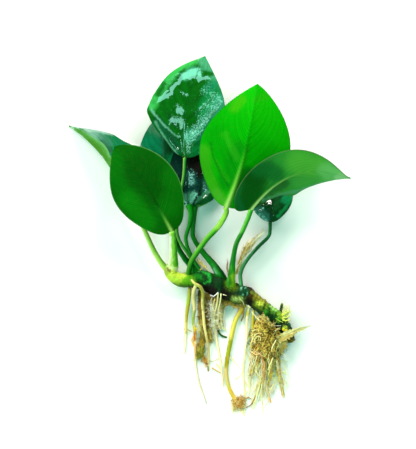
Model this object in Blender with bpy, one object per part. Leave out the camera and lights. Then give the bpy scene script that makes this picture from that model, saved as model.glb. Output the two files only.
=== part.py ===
"""A bare-root anubias plant lying on a flat surface, as seen from above.

+X is right, +Y is up and +Z is towards the viewer, and the surface is z = 0. Sizes and places are
written in millimetres, and MM turns them into metres.
"""

from dataclasses import dataclass
import math

import bmesh
import bpy
import numpy as np

MM = 0.001

# Driving dimensions, in millimetres
STEM_JOINT = 1.0  # from a stem's end to the point where its blade begins
BLADE_THICKNESS = 0.9
MARGIN_THICKNESS = 0.3
CENTRE_SHIFT = (1.25, 1.25, 0.0)  # puts the middle of the whole plant over the origin

LUMP_DEPTH = 0.07  # how far a clump's lumps stand out, as a share of its width
LOBE_PEAK = 0.08  # where along the midrib a blade's base lobes reach back most, as a share

# How finely the solids are cut
BLADE_ROWS = 12
BLADE_COLUMNS = 9
TUBE_STEPS = 2  # between one place on a stem or root and the next
RHIZOME_SIDES = 14
RHIZOME_STATIONS = 30
CLUMP_SIDES = 10
CLUMP_STEPS = 3  # between one place on a clump and the next


@dataclass(frozen=True)
class Leaf:
    """A blade laid out along its midrib, and the stem that carries it.

    Each pair is (left, right), as the upper face shows them with the tip pointing up.
    """

    midrib: tuple  # places at the base, one third, two thirds and the tip
    stem: tuple  # places from just below the blade down to the rhizome
    halves: tuple = (15.0, 15.0)  # greatest width of each half
    base_power: tuple = (0.6, 0.6)  # small is a blunt base
    tip_power: tuple = (0.85, 0.85)  # small is a blunt tip
    lobes: tuple = (2.0, 2.0)  # how far each half reaches back past the stem
    roll: tuple = (0.0, 0.0)  # turn of the upper face about the midrib, at the base and tip
    fold: tuple = (10.0, 10.0)  # lift of both halves towards the upper face, at the base and tip
    wave: float = 0.5  # height of the ripple along the margin
    ripples: float = 2.0  # how many ripples run from base to tip
    stem_radii: tuple = (1.3, 1.0, 1.0)  # at the rhizome, the middle and the blade
    colour: str = "leaf_dark"
    stem_colour: str = "stem_green"


LEAVES = {
    "left": Leaf(
        midrib=((-42, 21, 8.6), (-50.5, 35, 9.6), (-59.5, 45.5, 6.6), (-70.5, 54, 0.6)),
        stem=((-37.5, 13, 8.5), (-33, 3, 8), (-28.5, -7, 8), (-25, -13, 8.5), (-22.6, -16.2, 9)),
        halves=(17, 17),
        tip_power=(1.3, 1.3),
        roll=(68, 68),
        fold=(36, 36),
        stem_radii=(1.0, 1.0, 1.0),
        stem_colour="stem_pale",
    ),
    "front_left": Leaf(
        midrib=((-18.5, 1.5, 28), (-26, 15.5, 33), (-34.5, 29, 37), (-45, 41.5, 38)),
        stem=((-18, -5, 22), (-18, -10.5, 16), (-18, -13.6, 12.6)),
        halves=(15.5, 15.5),
        base_power=(0.7, 0.7),
        tip_power=(0.65, 0.65),
        lobes=(2, 2),
        roll=(180, 180),
        stem_radii=(1.9, 1.6, 1.4),
        stem_colour="stem_pale",
    ),
    "top": Leaf(
        midrib=((-12.5, 37.5, 13), (-12.5, 53, 18), (-9, 70.5, 22), (-2.5, 86.5, 22)),
        stem=((-13, 29, 11), (-15, 17, 9.5), (-16.5, 4.5, 9), (-15.5, -2.5, 9.5), (-11.5, -9, 10),
              (-9.5, -12.5, 10), (-8.6, -18.6, 9.6)),
        halves=(18.5, 19),
        base_power=(1.1, 0.85),
        tip_power=(1.3, 1.0),
        lobes=(1, 3),
        stem_radii=(0.9, 0.8, 0.8),
    ),
    "back_left": Leaf(
        midrib=((-14.5, 13.5, 5), (-18.5, 28, 5), (-23, 43, 3.3), (-26.5, 58, 0.6)),
        stem=((-17, 4.5, 5.5), (-16.5, -5, 6), (-13, -11.5, 6.4), (-10, -15, 6.6), (-7.8, -17.3, 7)),
        halves=(16, 11),
        roll=(10, 10),
        fold=(5, 5),
        stem_radii=(1.2, 1.1, 0.9),
    ),
    "back_middle": Leaf(
        midrib=((-10.5, 14.5, 7), (-11.5, 26.5, 7.5), (-11, 39, 6.5), (-9, 50.5, 4)),
        stem=((-10, 10.5, 7.5), (-11, 4.5, 7), (-11.5, -3, 7), (-10, -9.5, 7.5), (-8, -13.5, 8),
              (-5.2, -17.6, 9.5)),
        halves=(9, 7.5),
        stem_radii=(1.0, 0.9, 0.9),
    ),
    "middle": Leaf(
        midrib=((-8, 13.5, 5), (-1, 21, 4.8), (7, 31, 3.4), (14, 44, 1)),
        stem=((-8.5, 8.5, 5), (-8.5, 2.5, 5.5), (-6.5, -3, 6), (-3, -9.5, 6.5), (1.5, -15, 8),
              (3.6, -18.2, 10.8)),
        halves=(8, 5),
        base_power=(0.8, 0.8),
        lobes=(0.5, 0.5),
        stem_radii=(2.6, 1.1, 1.0),
    ),
    "large": Leaf(
        midrib=((7.5, 13, 30), (14, 31.5, 38), (18.5, 50, 43), (22, 70.5, 41)),
        stem=((7.5, 10, 28.5), (4, 4, 26), (-1.5, -2, 22.5), (-7, -9, 18), (-10, -14.5, 13.8),
              (-10.7, -20.5, 11.5)),
        halves=(24, 21.5),
        base_power=(0.6, 0.75),
        tip_power=(0.7, 0.95),
        roll=(200, 195),
        stem_radii=(1.5, 1.4, 1.1),
        colour="leaf_bright",
        stem_colour="stem_bright",
    ),
    "right": Leaf(
        midrib=((19.5, 12, 28.5), (33.5, 25.5, 32), (49.5, 30.5, 29), (68, 27, 20)),
        stem=((18, 7.5, 26), (15.5, 1.5, 23), (12.5, -5, 19), (11, -13.5, 14), (10.5, -20, 12.3),
              (10, -24.3, 12.6)),
        halves=(18, 18),
        base_power=(0.6, 0.75),
        tip_power=(1.1, 1.35),
        lobes=(2, 6.5),
        roll=(-126, -124),
        fold=(25, -20),
        stem_radii=(2.4, 1.3, 1.2),
        colour="leaf_bright",
        stem_colour="stem_bright",
    ),
    "right_back": Leaf(
        midrib=((29.5, 6, 9), (31, 14.5, 7.6), (33, 23, 5), (36, 34.5, 1)),
        stem=((29.5, 2, 8.6), (28.5, -1.5, 8.4), (23.5, -6.5, 8), (18, -13, 7.8), (15, -19, 8),
              (15.1, -25.1, 10.4)),
        halves=(14, 9),
        base_power=(0.8, 0.8),
        lobes=(1, 1),
        stem_radii=(1.1, 0.9, 0.8),
    ),
}

# The rhizome's middle line, from its growing tip to its old end, with the radius at each place
RHIZOME = (
    ((-18, -14.5, 11.5), 2.2),
    ((-19.5, -18.5, 9), 3.2),
    ((-15, -22.5, 7), 3.5),
    ((-9, -22.5, 6.5), 4.0),
    ((-2.5, -23.3, 6.5), 4.5),
    ((5, -26.5, 6.5), 4.8),
    ((12.5, -29, 6), 4.5),
    ((19.5, -31.5, 6), 3.6),
    ((25, -35.8, 6), 3.3),
    ((30.3, -40, 6), 3.3),
    ((35.2, -44.8, 5.5), 3.1),
    ((38.5, -48.5, 5), 2.4),
    ((40, -53, 4), 2.0),
)

# Knobs on the rhizome: place, how far each spreads and how far it stands out
KNOBS = (
    ((-4, -20, 9), 3.0, 1.2),
    ((3, -23, 10), 3.0, 1.0),
    ((16, -28, 9), 3.0, 1.0),
    ((20, -27, 6), 1.5, 1.0),
    ((13, -33, 5), 2.5, 1.2),
    ((26, -34, 9), 2.5, 1.0),
    ((32, -39, 9), 2.5, 1.2),
    ((37, -41, 7), 2.0, 1.2),
)


@dataclass(frozen=True)
class Root:
    """A single root: the places it runs through, and its radius at each end."""

    route: tuple
    radii: tuple
    colour: str = "root_cream"


ROOTS = {
    "root_left": Root(
        ((-10.2, -26.9, 5.4), (-10.7, -33, 3), (-11.5, -38, 2), (-12, -43, 1.5), (-12.2, -50.5, 1.2),
         (-12.8, -59.5, 0.7)),
        (0.9, 0.5), "root_yellow"),
    "root_long_left": Root(
        ((-7, -25, 11.3), (-8.6, -28.5, 9), (-9, -32.5, 5.5), (-8.5, -37.5, 3.5), (-9, -46, 1.7),
         (-8.3, -52, 1.3), (-7.7, -61, 1), (-6, -71.5, 0.7), (-2, -84.5, 0.5)),
        (0.9, 0.35)),
    "root_brown": Root(
        ((-4.6, -28.2, 4.8), (-4.5, -38, 3), (-4.2, -45.5, 2.5), (-4, -52, 2.3), (-4.8, -58, 2),
         (-5.4, -61.5, 1.4)),
        (1.9, 1.2), "root_brown"),
    "root_arched": Root(
        ((-9.2, -22.4, 11.6), (-7.8, -24, 13.2), (-5, -25.8, 12.6), (-3.6, -29, 10), (-3.8, -33.5, 7.4),
         (-3.5, -38.5, 6.2), (-3, -45, 5.8), (-2, -50.5, 5), (-1, -56, 2.8), (-1, -62, 1.2),
         (-1, -68.5, 0.7)),
        (0.8, 0.6)),
    "root_brown_thin": Root(
        ((-0.6, -29.8, 4.5), (-0.2, -39, 2), (-0.2, -46, 1.6), (-0.2, -54, 1)),
        (1.1, 0.8), "root_brown"),
    "root_cream_middle": Root(
        ((3.1, -31.1, 4.6), (2.5, -38, 2.8), (2, -44, 2), (3, -52, 1.6), (5, -62, 1.2), (6, -71, 1),
         (6.6, -76, 0.6)),
        (0.8, 0.5)),
    "root_tan": Root(
        ((6.9, -32.3, 4.2), (5.5, -38, 2.5), (4.6, -43, 1.8), (4.4, -47, 1)),
        (0.8, 0.7), "root_brown"),
    "root_white": Root(
        ((8.9, -32.9, 4.3), (6.9, -40, 1.6), (7.3, -46, 0.8), (8.5, -49, 0.4)),
        (0.4, 0.3)),
    "root_green": Root(
        ((3.6, -48.2, 0.6), (5.5, -50.6, 0.6), (8.2, -51.7, 0.5)),
        (0.5, 0.45), "stem_green"),
    "root_yellow": Root(
        ((17, -35.1, 4.2), (14.8, -39, 3), (12.4, -43.5, 2.2), (10.7, -50.5, 1.6), (8.8, -60.5, 1.4),
         (8.2, -68.5, 1.2), (9, -75.5, 1.1), (11.6, -80.4, 1)),
        (1.1, 0.9), "root_yellow"),
    "root_cream_right": Root(
        ((19.4, -35.9, 4.2), (18.3, -43, 2.2), (18.2, -50.5, 1.5), (17.3, -59, 1.2), (16.5, -68, 1),
         (17.2, -79, 0.8), (17.5, -89, 0.4)),
        (0.85, 0.35)),
    "root_short": Root(
        ((21.5, -37.7, 3.9), (21.2, -43, 2.2), (21.2, -47.5, 1)),
        (0.7, 0.6), "root_yellow"),
    "old_stub": Root(
        ((34.8, -38.2, 7), (35.2, -36.4, 7), (35.4, -34.4, 7.2)),
        (0.7, 0.5), "rhizome_brown"),
    "dry_sheath": Root(
        ((26.5, 1.5, 8), (23.5, -1.5, 7.5), (20.5, -4.5, 7), (18, -7, 6.5), (15.8, -11, 6),
         (13.8, -16, 5.3), (12.6, -23.3, 5.6)),
        (0.5, 1.0), "dry_tan"),
    "dry_scale": Root(
        ((36, -51.5, 8.4), (39.5, -49.5, 8.6), (44, -48, 6.2), (50, -46, 2.6)),
        (1.3, 0.5), "dry_tan"),
}

# Clumps of fine roots that lie flat on the surface: the middle line, with the half width and
# the height at each place
ROOT_MASS = (
    ((28.5, -45.6), 4.5, 3.0),
    ((28.5, -50), 7.5, 7.5),
    ((28.5, -58), 9.0, 9.0),
    ((28.3, -65.5), 8.7, 8.0),
    ((28.8, -73), 8.5, 5.5),
    ((27.8, -80), 7.0, 3.5),
    ((26.5, -85), 4.5, 2.2),
)
ROOT_TUFT = (
    ((13.2, -81.4), 1.5, 2.0),
    ((13, -83), 2.8, 3.2),
    ((12.6, -86), 2.8, 2.8),
    ((12.2, -88), 1.5, 1.4),
)

COLOURS = {
    "leaf_dark": (0.02, 0.12, 0.03, 0.25),
    "leaf_bright": (0.09, 0.33, 0.02, 0.4),
    "stem_green": (0.04, 0.22, 0.04, 0.4),
    "stem_bright": (0.12, 0.38, 0.05, 0.4),
    "stem_pale": (0.35, 0.6, 0.12, 0.45),
    "rhizome_brown": (0.08, 0.09, 0.02, 0.6),
    "root_cream": (0.62, 0.6, 0.32, 0.6),
    "root_yellow": (0.5, 0.5, 0.05, 0.5),
    "root_brown": (0.22, 0.16, 0.05, 0.85),
    "root_mass_tan": (0.24, 0.18, 0.05, 0.95),
    "dry_tan": (0.5, 0.42, 0.16, 0.9),
}


def clear_scene():
    for obj in list(bpy.data.objects):
        bpy.data.objects.remove(obj, do_unlink=True)


def make_material(name):
    """A Principled material from its entry in COLOURS: linear red, green, blue and roughness."""
    red, green, blue, roughness = COLOURS[name]
    material = bpy.data.materials.new(name)
    material.use_nodes = True
    principled = material.node_tree.nodes["Principled BSDF"]
    principled.inputs["Base Color"].default_value = (red, green, blue, 1)
    principled.inputs["Roughness"].default_value = roughness
    principled.inputs["Metallic"].default_value = 0
    return material


def unit(vectors):
    return vectors / np.linalg.norm(vectors, axis=-1, keepdims=True)


def smooth_values(values, count):
    """Rows evenly spread on a curve that passes through every row of values."""
    values = np.asarray(values, float)
    before = 2 * values[0] - values[1]
    after = 2 * values[-1] - values[-2]
    padded = np.vstack([before, values, after])
    place = np.linspace(0, len(values) - 1, count)
    start = np.minimum(place.astype(int), len(values) - 2)
    t = (place - start)[:, None]
    a, b, c, d = (padded[start + shift] for shift in range(4))
    return 0.5 * (
        2 * b + (c - a) * t + (2 * a - 5 * b + 4 * c - d) * t**2 + (3 * b - a - 3 * c + d) * t**3
    )


def loft(rings, ends=None):
    """A closed body through rings of equal count, ended by flat caps or by the two points in ends."""
    mesh = bmesh.new()
    loops = [[mesh.verts.new(place) for place in ring] for ring in rings]
    for near, far in zip(loops, loops[1:]):
        for i in range(len(near)):
            j = (i + 1) % len(near)
            mesh.faces.new((near[i], near[j], far[j], far[i]))
    if ends is None:
        mesh.faces.new(loops[0])
        mesh.faces.new(loops[-1])
    else:
        for end, loop in zip(ends, (loops[0], loops[-1])):
            apex = mesh.verts.new(end)
            for i in range(len(loop)):
                mesh.faces.new((loop[i], loop[(i + 1) % len(loop)], apex))
    bmesh.ops.recalc_face_normals(mesh, faces=mesh.faces)
    bmesh.ops.scale(mesh, vec=(MM, MM, MM), verts=mesh.verts)
    return mesh


def add_body(name, mesh, material, parent):
    data = bpy.data.meshes.new(name)
    mesh.to_mesh(data)
    mesh.free()
    data.shade_smooth()
    data.materials.append(material)
    body = bpy.data.objects.new(name, data)
    body.parent = parent
    bpy.context.collection.objects.link(body)
    return body


def add_tube(name, route, radii, sides_step, material, parent):
    """A round stem or root along a smooth curve through route; radii are spread along its length."""
    count = TUBE_STEPS * len(route) + 1
    places = smooth_values(route, count)
    curve = bpy.data.curves.new(name, "CURVE")
    curve.dimensions = "3D"
    curve.bevel_depth = MM
    curve.bevel_resolution = sides_step
    curve.use_fill_caps = True
    spline = curve.splines.new("POLY")
    spline.points.add(count - 1)
    shares = np.linspace(0, 1, count)
    thickness = np.interp(shares, np.linspace(0, 1, len(radii)), radii)
    for point, place, radius in zip(spline.points, places, thickness):
        point.co = (*(place * MM), 1)
        point.radius = radius
    curve.materials.append(material)
    tube = bpy.data.objects.new(name, curve)
    tube.parent = parent
    bpy.context.collection.objects.link(tube)
    return tube


class Midrib:
    """The cubic through a leaf's four midrib places, with its directions."""

    def __init__(self, leaf):
        self.leaf = leaf
        places = np.asarray(leaf.midrib, float)
        self.cubic = np.polyfit([0, 1 / 3, 2 / 3, 1], places, 3)
        self.length = np.linalg.norm(np.diff(places, axis=0), axis=1).sum()

    def place(self, u):
        powers = np.stack([u**3, u**2, u, np.ones_like(u)], axis=-1)
        return powers @ self.cubic

    def frame(self, u):
        """Unit vectors along the midrib, out of the upper face and to its right."""
        powers = np.stack([3 * u**2, 2 * u, np.ones_like(u)], axis=-1)
        along = unit(powers @ self.cubic[:3])
        level = unit(np.cross(along, [0.0, 0.0, 1.0]))
        above = np.cross(level, along)
        first, last = np.radians(self.leaf.roll)
        turn = (first + (last - first) * u)[..., None]
        upper = above * np.cos(turn) + level * np.sin(turn)
        return along, upper, np.cross(along, upper)


def blade_surface(leaf, u, v):
    """Places and upper-face directions of a blade.

    u runs from base to tip and v from the left margin (-1) to the right one (1). Each half's
    width follows u^base_power * (1 - u)^tip_power, scaled to its greatest width. A half rises
    from the midrib by its fold, and its base is drawn back into a lobe.
    """
    rib = Midrib(leaf)
    right = v > 0
    base_power = np.where(right, leaf.base_power[1], leaf.base_power[0])
    tip_power = np.where(right, leaf.tip_power[1], leaf.tip_power[0])
    widest = base_power / (base_power + tip_power)
    outline = (u / widest) ** base_power * ((1 - u) / (1 - widest)) ** tip_power
    across = np.abs(v) * outline
    width = np.where(right, leaf.halves[1], leaf.halves[0]) * across
    lobe = np.where(right, leaf.lobes[1], leaf.lobes[0])
    back = lobe * v**2 * (u / LOBE_PEAK) * np.exp(1 - u / LOBE_PEAK)
    station = u - back / rib.length
    along, upper, side = rib.frame(station)
    lift = np.radians(leaf.fold[0] + (leaf.fold[1] - leaf.fold[0]) * u)
    ripple = leaf.wave * across**3 * np.sin(2 * math.pi * leaf.ripples * u + np.sign(v))
    outward = np.sign(v)[..., None] * side
    spread = (width * np.cos(lift))[..., None] * outward
    rise = (width * np.sin(lift) + ripple)[..., None] * upper
    face = upper * np.cos(lift)[..., None] - outward * np.sin(lift)[..., None]
    return rib.place(station) + spread + rise, face


def blade_mesh(leaf):
    """The blade as a closed body: each ring runs along the upper face and back along the lower."""
    steps = np.linspace(0, math.pi, BLADE_ROWS + 1)[1:-1]
    rows = (1 - np.cos(steps)) / 2
    columns = np.linspace(-1, 1, BLADE_COLUMNS)
    u, v = np.meshgrid(rows, columns, indexing="ij")
    places, face = blade_surface(leaf, u, v)
    thickness = BLADE_THICKNESS + (MARGIN_THICKNESS - BLADE_THICKNESS) * v**2
    half = (thickness / 2)[..., None] * face
    rings = np.concatenate([places + half, (places - half)[:, ::-1]], axis=1)
    rib = Midrib(leaf)
    return loft(rings, ends=(rib.place(np.array(0.0)), rib.place(np.array(1.0))))


def add_leaf(name, leaf, materials, parent):
    add_body(f"leaf_{name}", blade_mesh(leaf), materials[leaf.colour], parent)
    base, ahead = Midrib(leaf).place(np.array([0.0, 0.01]))
    top = base - STEM_JOINT * unit(ahead - base)
    route = [top, *leaf.stem]
    add_tube(f"stem_{name}", route, leaf.stem_radii[::-1], 2, materials[leaf.stem_colour], parent)


def rhizome_mesh():
    """A bent, knobbly body: round sections along the middle line, pushed outwards near each knob."""
    places = smooth_values([place for place, _ in RHIZOME], RHIZOME_STATIONS)
    radii = smooth_values([[radius] for _, radius in RHIZOME], RHIZOME_STATIONS)
    along = unit(np.gradient(places, axis=0))
    side = unit(np.cross(along, [0.0, 0.0, 1.0]))
    above = np.cross(side, along)
    angles = np.linspace(0, 2 * math.pi, RHIZOME_SIDES, endpoint=False)[None, :, None]
    out = side[:, None] * np.cos(angles) + above[:, None] * np.sin(angles)
    rings = places[:, None] + out * radii[:, None]
    for centre, spread, height in KNOBS:
        distance = np.linalg.norm(rings - np.array(centre), axis=-1, keepdims=True)
        rings = rings + out * height * np.exp(-((distance / spread) ** 2))
    return loft(rings)


def clump_mesh(stations):
    """A lumpy mound with a flat underside on the surface, from its middle line, widths and heights."""
    rows = CLUMP_STEPS * len(stations)
    line = smooth_values([[*place, width, height] for place, width, height in stations], rows)
    arc = np.linspace(0, math.pi, CLUMP_SIDES + 1)
    lumps = 1 + LUMP_DEPTH * np.sin(5 * arc + 1.7 * np.arange(rows)[:, None])
    across = line[:, 2:3] * np.cos(arc) * lumps
    height = line[:, 3:4] * np.abs(np.sin(arc)) ** 0.8 * lumps
    places = np.stack([line[:, 0:1] + across, line[:, 1:2] + 0 * across, height], axis=-1)
    return loft(places)


def main():
    clear_scene()
    plant = bpy.data.objects.new("plant", None)
    plant.location = [MM * shift for shift in CENTRE_SHIFT]
    bpy.context.collection.objects.link(plant)
    materials = {name: make_material(name) for name in COLOURS}
    for name, leaf in LEAVES.items():
        add_leaf(name, leaf, materials, plant)
    add_body("rhizome", rhizome_mesh(), materials["rhizome_brown"], plant)
    for name, root in ROOTS.items():
        add_tube(name, root.route, root.radii, 1, materials[root.colour], plant)
    add_body("root_mass", clump_mesh(ROOT_MASS), materials["root_mass_tan"], plant)
    add_body("root_tuft", clump_mesh(ROOT_TUFT), materials["root_mass_tan"], plant)


main()
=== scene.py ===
import math

import bpy
import numpy as np
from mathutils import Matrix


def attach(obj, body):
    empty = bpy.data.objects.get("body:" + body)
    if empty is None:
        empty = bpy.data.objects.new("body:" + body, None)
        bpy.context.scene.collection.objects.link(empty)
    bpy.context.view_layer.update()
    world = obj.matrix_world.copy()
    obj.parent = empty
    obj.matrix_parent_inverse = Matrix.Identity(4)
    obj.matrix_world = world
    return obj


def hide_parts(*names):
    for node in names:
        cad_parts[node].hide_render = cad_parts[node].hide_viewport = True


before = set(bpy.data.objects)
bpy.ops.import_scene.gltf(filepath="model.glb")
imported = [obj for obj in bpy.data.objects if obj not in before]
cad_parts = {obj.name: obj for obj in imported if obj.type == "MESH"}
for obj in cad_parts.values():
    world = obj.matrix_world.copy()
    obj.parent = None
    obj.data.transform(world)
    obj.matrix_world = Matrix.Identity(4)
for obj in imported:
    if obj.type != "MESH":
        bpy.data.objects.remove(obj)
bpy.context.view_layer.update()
print("frame loaded:", len(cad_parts), "nodes")

# The plant lies on the surface z = 0 and is seen from straight above, with +Y up in the view.
# Shapes are worked out in the plant's own millimetres. Routes with two numbers a place are
# read in plan: where the eye sees them on the surface.
mm = 0.001
plantShift = np.array([1.25, 1.25, 0.0])  # mm, from the plant's own zero to the frame's
eye = np.array([-1.125, 4.75, 650.0])  # mm, the viewpoint
luck = np.random.default_rng(7)
# Colours are written as the eye shows them. The skin itself is darker by these shares (some are
# red, green and blue), and windowTint evens out the warm light of the windows.
skinShare = 0.80
rootShare = np.array([0.97, 0.84, 0.84])
fibreShare = np.array([1.16, 1.06, 0.95])
sheetShare = np.array([0.84, 0.84, 0.78])
windowTint = np.array([0.93, 0.975, 1.01])
brightest = 0.9  # no skin throws back more light than this
reliefDepth = 0.3  # mm, of the finest relief in every finish


def unit(vectors):
    return vectors / np.linalg.norm(vectors, axis=-1, keepdims=True)


def smoothValues(values, count):
    # Catmull-Rom: count rows spread evenly on a curve through all rows of values (..., rows, n).
    # A route may be flat: x, y, z after x, y, z.
    values = np.asarray(values, float)
    if values.ndim == 1:
        values = values.reshape(-1, 3)
    before = 2 * values[..., :1, :] - values[..., 1:2, :]
    after = 2 * values[..., -1:, :] - values[..., -2:-1, :]
    padded = np.concatenate([before, values, after], axis=-2)
    place = np.linspace(0, values.shape[-2] - 1, count)
    start = np.minimum(place.astype(int), values.shape[-2] - 2)
    t = (place - start)[:, None]
    a, b, c, d = (padded[..., start + shift, :] for shift in range(4))
    return 0.5 * (
        2 * b + (c - a) * t + (2 * a - 5 * b + 4 * c - d) * t**2 + (3 * b - a - 3 * c + d) * t**3
    )


def spread(values, count):
    # count values spread evenly over a short list, straight from one to the next
    values = np.asarray(values, float)
    return np.interp(np.linspace(0, 1, count), np.linspace(0, 1, len(values)), values)


def ripples(places, size, seed=0.0):
    # a smooth unevenness from -1 to 1: three crossed sine waves about size mm long
    x, y, z = np.moveaxis(np.asarray(places) * (2 * math.pi / size), -1, 0)
    first = np.sin(x + 0.7 * y + seed) * np.sin(0.9 * y - 0.5 * z + 2 * seed)
    second = np.sin(1.7 * z + 0.6 * x - seed) * np.sin(1.3 * y + 1.1 * x + 3 * seed)
    third = np.sin(2.3 * x - 1.9 * y + 1.4 * z + 5 * seed)
    return (first + second + 0.5 * third) / 2.5


def fromAbove(places):
    # the spot on the surface that the eye sees behind each place
    scale = 1 / (1 - places[..., 2:3] / eye[2])
    spots = eye[:2] + (places[..., :2] - eye[:2]) * scale
    flat = np.concatenate([spots, 0 * spots[..., :1]], axis=-1)
    wobble = np.stack([ripples(flat, 6.0, 1.0), ripples(flat, 6.0, 2.0)], axis=-1)
    return spots + 0.5 * wobble


def brush(spots, route, reach, power=4):
    # 1 on the route and falling off around it as exp(-(distance / reach)^power)
    route = np.asarray(route, float).reshape(-1, 2)
    nearest = np.full(spots.shape[:-1], np.inf)
    for start, end in zip(route, np.vstack([route[1:], route[-1:]])):
        along = end - start
        share = np.clip((spots - start) @ along / max(along @ along, 1e-9), 0, 1)
        nearest = np.minimum(nearest, np.linalg.norm(spots - start - share[..., None] * along, axis=-1))
    return np.exp(-((nearest / reach) ** power))


def linearColour(code):
    # sRGB hex to linear light
    values = np.array([int(code[i:i + 2], 16) for i in (1, 3, 5)]) / 255
    return np.where(values <= 0.04045, values / 12.92, ((values + 0.055) / 1.055) ** 2.4)


def painted(colours, spots, strokes):
    # each stroke is (sRGB hex, amount, reach in mm, route), laid over the ones before it. A
    # stroke's route is flat: x, y after x, y, in plan mm.
    for code, amount, reach, route in strokes:
        weight = amount * brush(spots, route, reach)[..., None]
        colours = colours + weight * (linearColour(code) - colours)
    return colours


def paintedOn(places, base, strokes):
    # one base colour on all places, with the strokes where the eye sees them
    return painted(np.broadcast_to(linearColour(base), places.shape), fromAbove(places), strokes)


def addNode(tree, kind, settings=None, inputs=None):
    # settings are the node's own properties; inputs are values, or sockets to link from
    node = tree.nodes.new(kind)
    for key, value in (settings or {}).items():
        setattr(node, key, value)
    for key, value in (inputs or {}).items():
        if isinstance(value, bpy.types.NodeSocket):
            tree.links.new(value, node.inputs[key])
        else:
            node.inputs[key].default_value = value
    return node


def maths(tree, operation, *values):
    return addNode(tree, "ShaderNodeMath", {"operation": operation}, dict(enumerate(values))).outputs[0]


def attribute(tree, name):
    return addNode(tree, "ShaderNodeAttribute", {"attribute_name": name})


def noise(tree, vector, sizeMm, detail=3.0):
    # a pattern whose features are about sizeMm across
    inputs = {"Vector": vector, "Scale": 1 / (sizeMm * mm), "Detail": detail, "Roughness": 0.55}
    return addNode(tree, "ShaderNodeTexNoise", None, inputs).outputs["Fac"]


def centred(tree, vector, sizeMm, detail=3.0):
    # the same pattern, from about -0.5 to 0.5
    return maths(tree, "SUBTRACT", noise(tree, vector, sizeMm, detail), 0.5)


def scaled(tree, vector, factor):
    inputs = {"Vector": vector, "Scale": factor}
    return addNode(tree, "ShaderNodeVectorMath", {"operation": "SCALE"}, inputs).outputs[0]


def brightness(tree, look, **patterns):
    # 1 and every pattern, each by its own share in the look
    light = 1.0
    for key, pattern in patterns.items():
        light = maths(tree, "MULTIPLY_ADD", pattern, look[key], light)
    return light


def coverSkin(tree, skin, look, colour, height):
    # the colour, the roughness and the fine relief
    tree.links.new(colour, skin.inputs["Base Color"])
    skin.inputs["Roughness"].default_value = look["roughness"]
    inputs = {"Height": height, "Strength": look["bump"], "Distance": reliefDepth * mm}
    relief = addNode(tree, "ShaderNodeBump", None, inputs)
    tree.links.new(relief.outputs["Normal"], skin.inputs["Normal"])


def newFinish(name, look):
    finish = bpy.data.materials.new(name)
    finish.use_nodes = True
    tree = finish.node_tree
    skin = tree.nodes["Principled BSDF"]
    skin.inputs["IOR"].default_value = look["ior"]
    skin.inputs["Specular IOR Level"].default_value = look["specular"]
    return finish, tree, skin


leafLooks = {
    # the upper face of an anubias blade: waxy, with a film of water that shines where it is whole
    # and breaks into fine drops where it is thin
    "wetUpperCuticle": dict(
        ior=1.45, specular=0.05, roughness=0.55, vein=0.06, cloud=0.5, grain=0.35, cloudSize=4.0,
        grainSize=0.7, bump=0.35, veinFade=1.0, film=True,
    ),
    # the lower face: the same wax, but dry and matt, with the faintest red-brown flecks
    "mattUnderside": dict(
        ior=1.40, specular=0.04, roughness=0.62, vein=0.30, cloud=0.24, grain=0.14, cloudSize=9.0,
        grainSize=0.6, bump=0.25, veinFade=2.5, film=False, rust=0.022, rustSize=1.3,
        rustColour=(1.0, 0.4, 0.1),
    ),
}
filmLook = dict(ior=2.35, roughness=0.08, breakUp=6.0, slope=3.0, start=-1.0)


def leafFinish(name):
    look = leafLooks[name]
    finish, tree, skin = newFinish(name, look)
    coords = addNode(tree, "ShaderNodeTexCoord").outputs["Object"]
    cloud = centred(tree, coords, look["cloudSize"])
    grain = centred(tree, coords, look["grainSize"], 2.0)
    wave = maths(tree, "SINE", attribute(tree, "veinTurn").outputs["Fac"])
    vein = maths(tree, "MULTIPLY", wave, attribute(tree, "veinShow").outputs["Fac"])
    # the veins come and go: they show where the clouds are light
    vein = maths(tree, "MULTIPLY", vein, maths(tree, "MULTIPLY_ADD", cloud, look["veinFade"], 0.5))
    light = brightness(tree, look, vein=vein, cloud=cloud, grain=grain)
    colour = scaled(tree, attribute(tree, "paint").outputs["Color"], light)
    if "rust" in look:
        # a little red-brown is added where the fleck pattern is high
        fleck = maths(tree, "MAXIMUM", centred(tree, coords, look["rustSize"], 4.0), 0.0)
        rusty = scaled(tree, look["rustColour"], maths(tree, "MULTIPLY", fleck, look["rust"]))
        inputs = {0: colour, 1: rusty}
        colour = addNode(tree, "ShaderNodeVectorMath", {"operation": "ADD"}, inputs).outputs[0]
    coverSkin(tree, skin, look, colour, maths(tree, "MULTIPLY_ADD", vein, 0.25, grain))
    if look["film"]:
        # film = slope wet + start + breakUp grain, from 0 to 1: it is whole well above a wet of 0.7
        # and is broken by the grain below that
        wet = attribute(tree, "wet").outputs["Fac"]
        level = maths(tree, "MULTIPLY_ADD", wet, filmLook["slope"], filmLook["start"])
        film = maths(tree, "MULTIPLY_ADD", grain, filmLook["breakUp"], level)
        clamped = {"operation": "MULTIPLY", "use_clamp": True}
        film = addNode(tree, "ShaderNodeMath", clamped, {0: film, 1: 1.0})
        tree.links.new(film.outputs[0], skin.inputs["Coat Weight"])
        skin.inputs["Coat Roughness"].default_value = filmLook["roughness"]
        skin.inputs["Coat IOR"].default_value = filmLook["ior"]
    return finish


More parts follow.
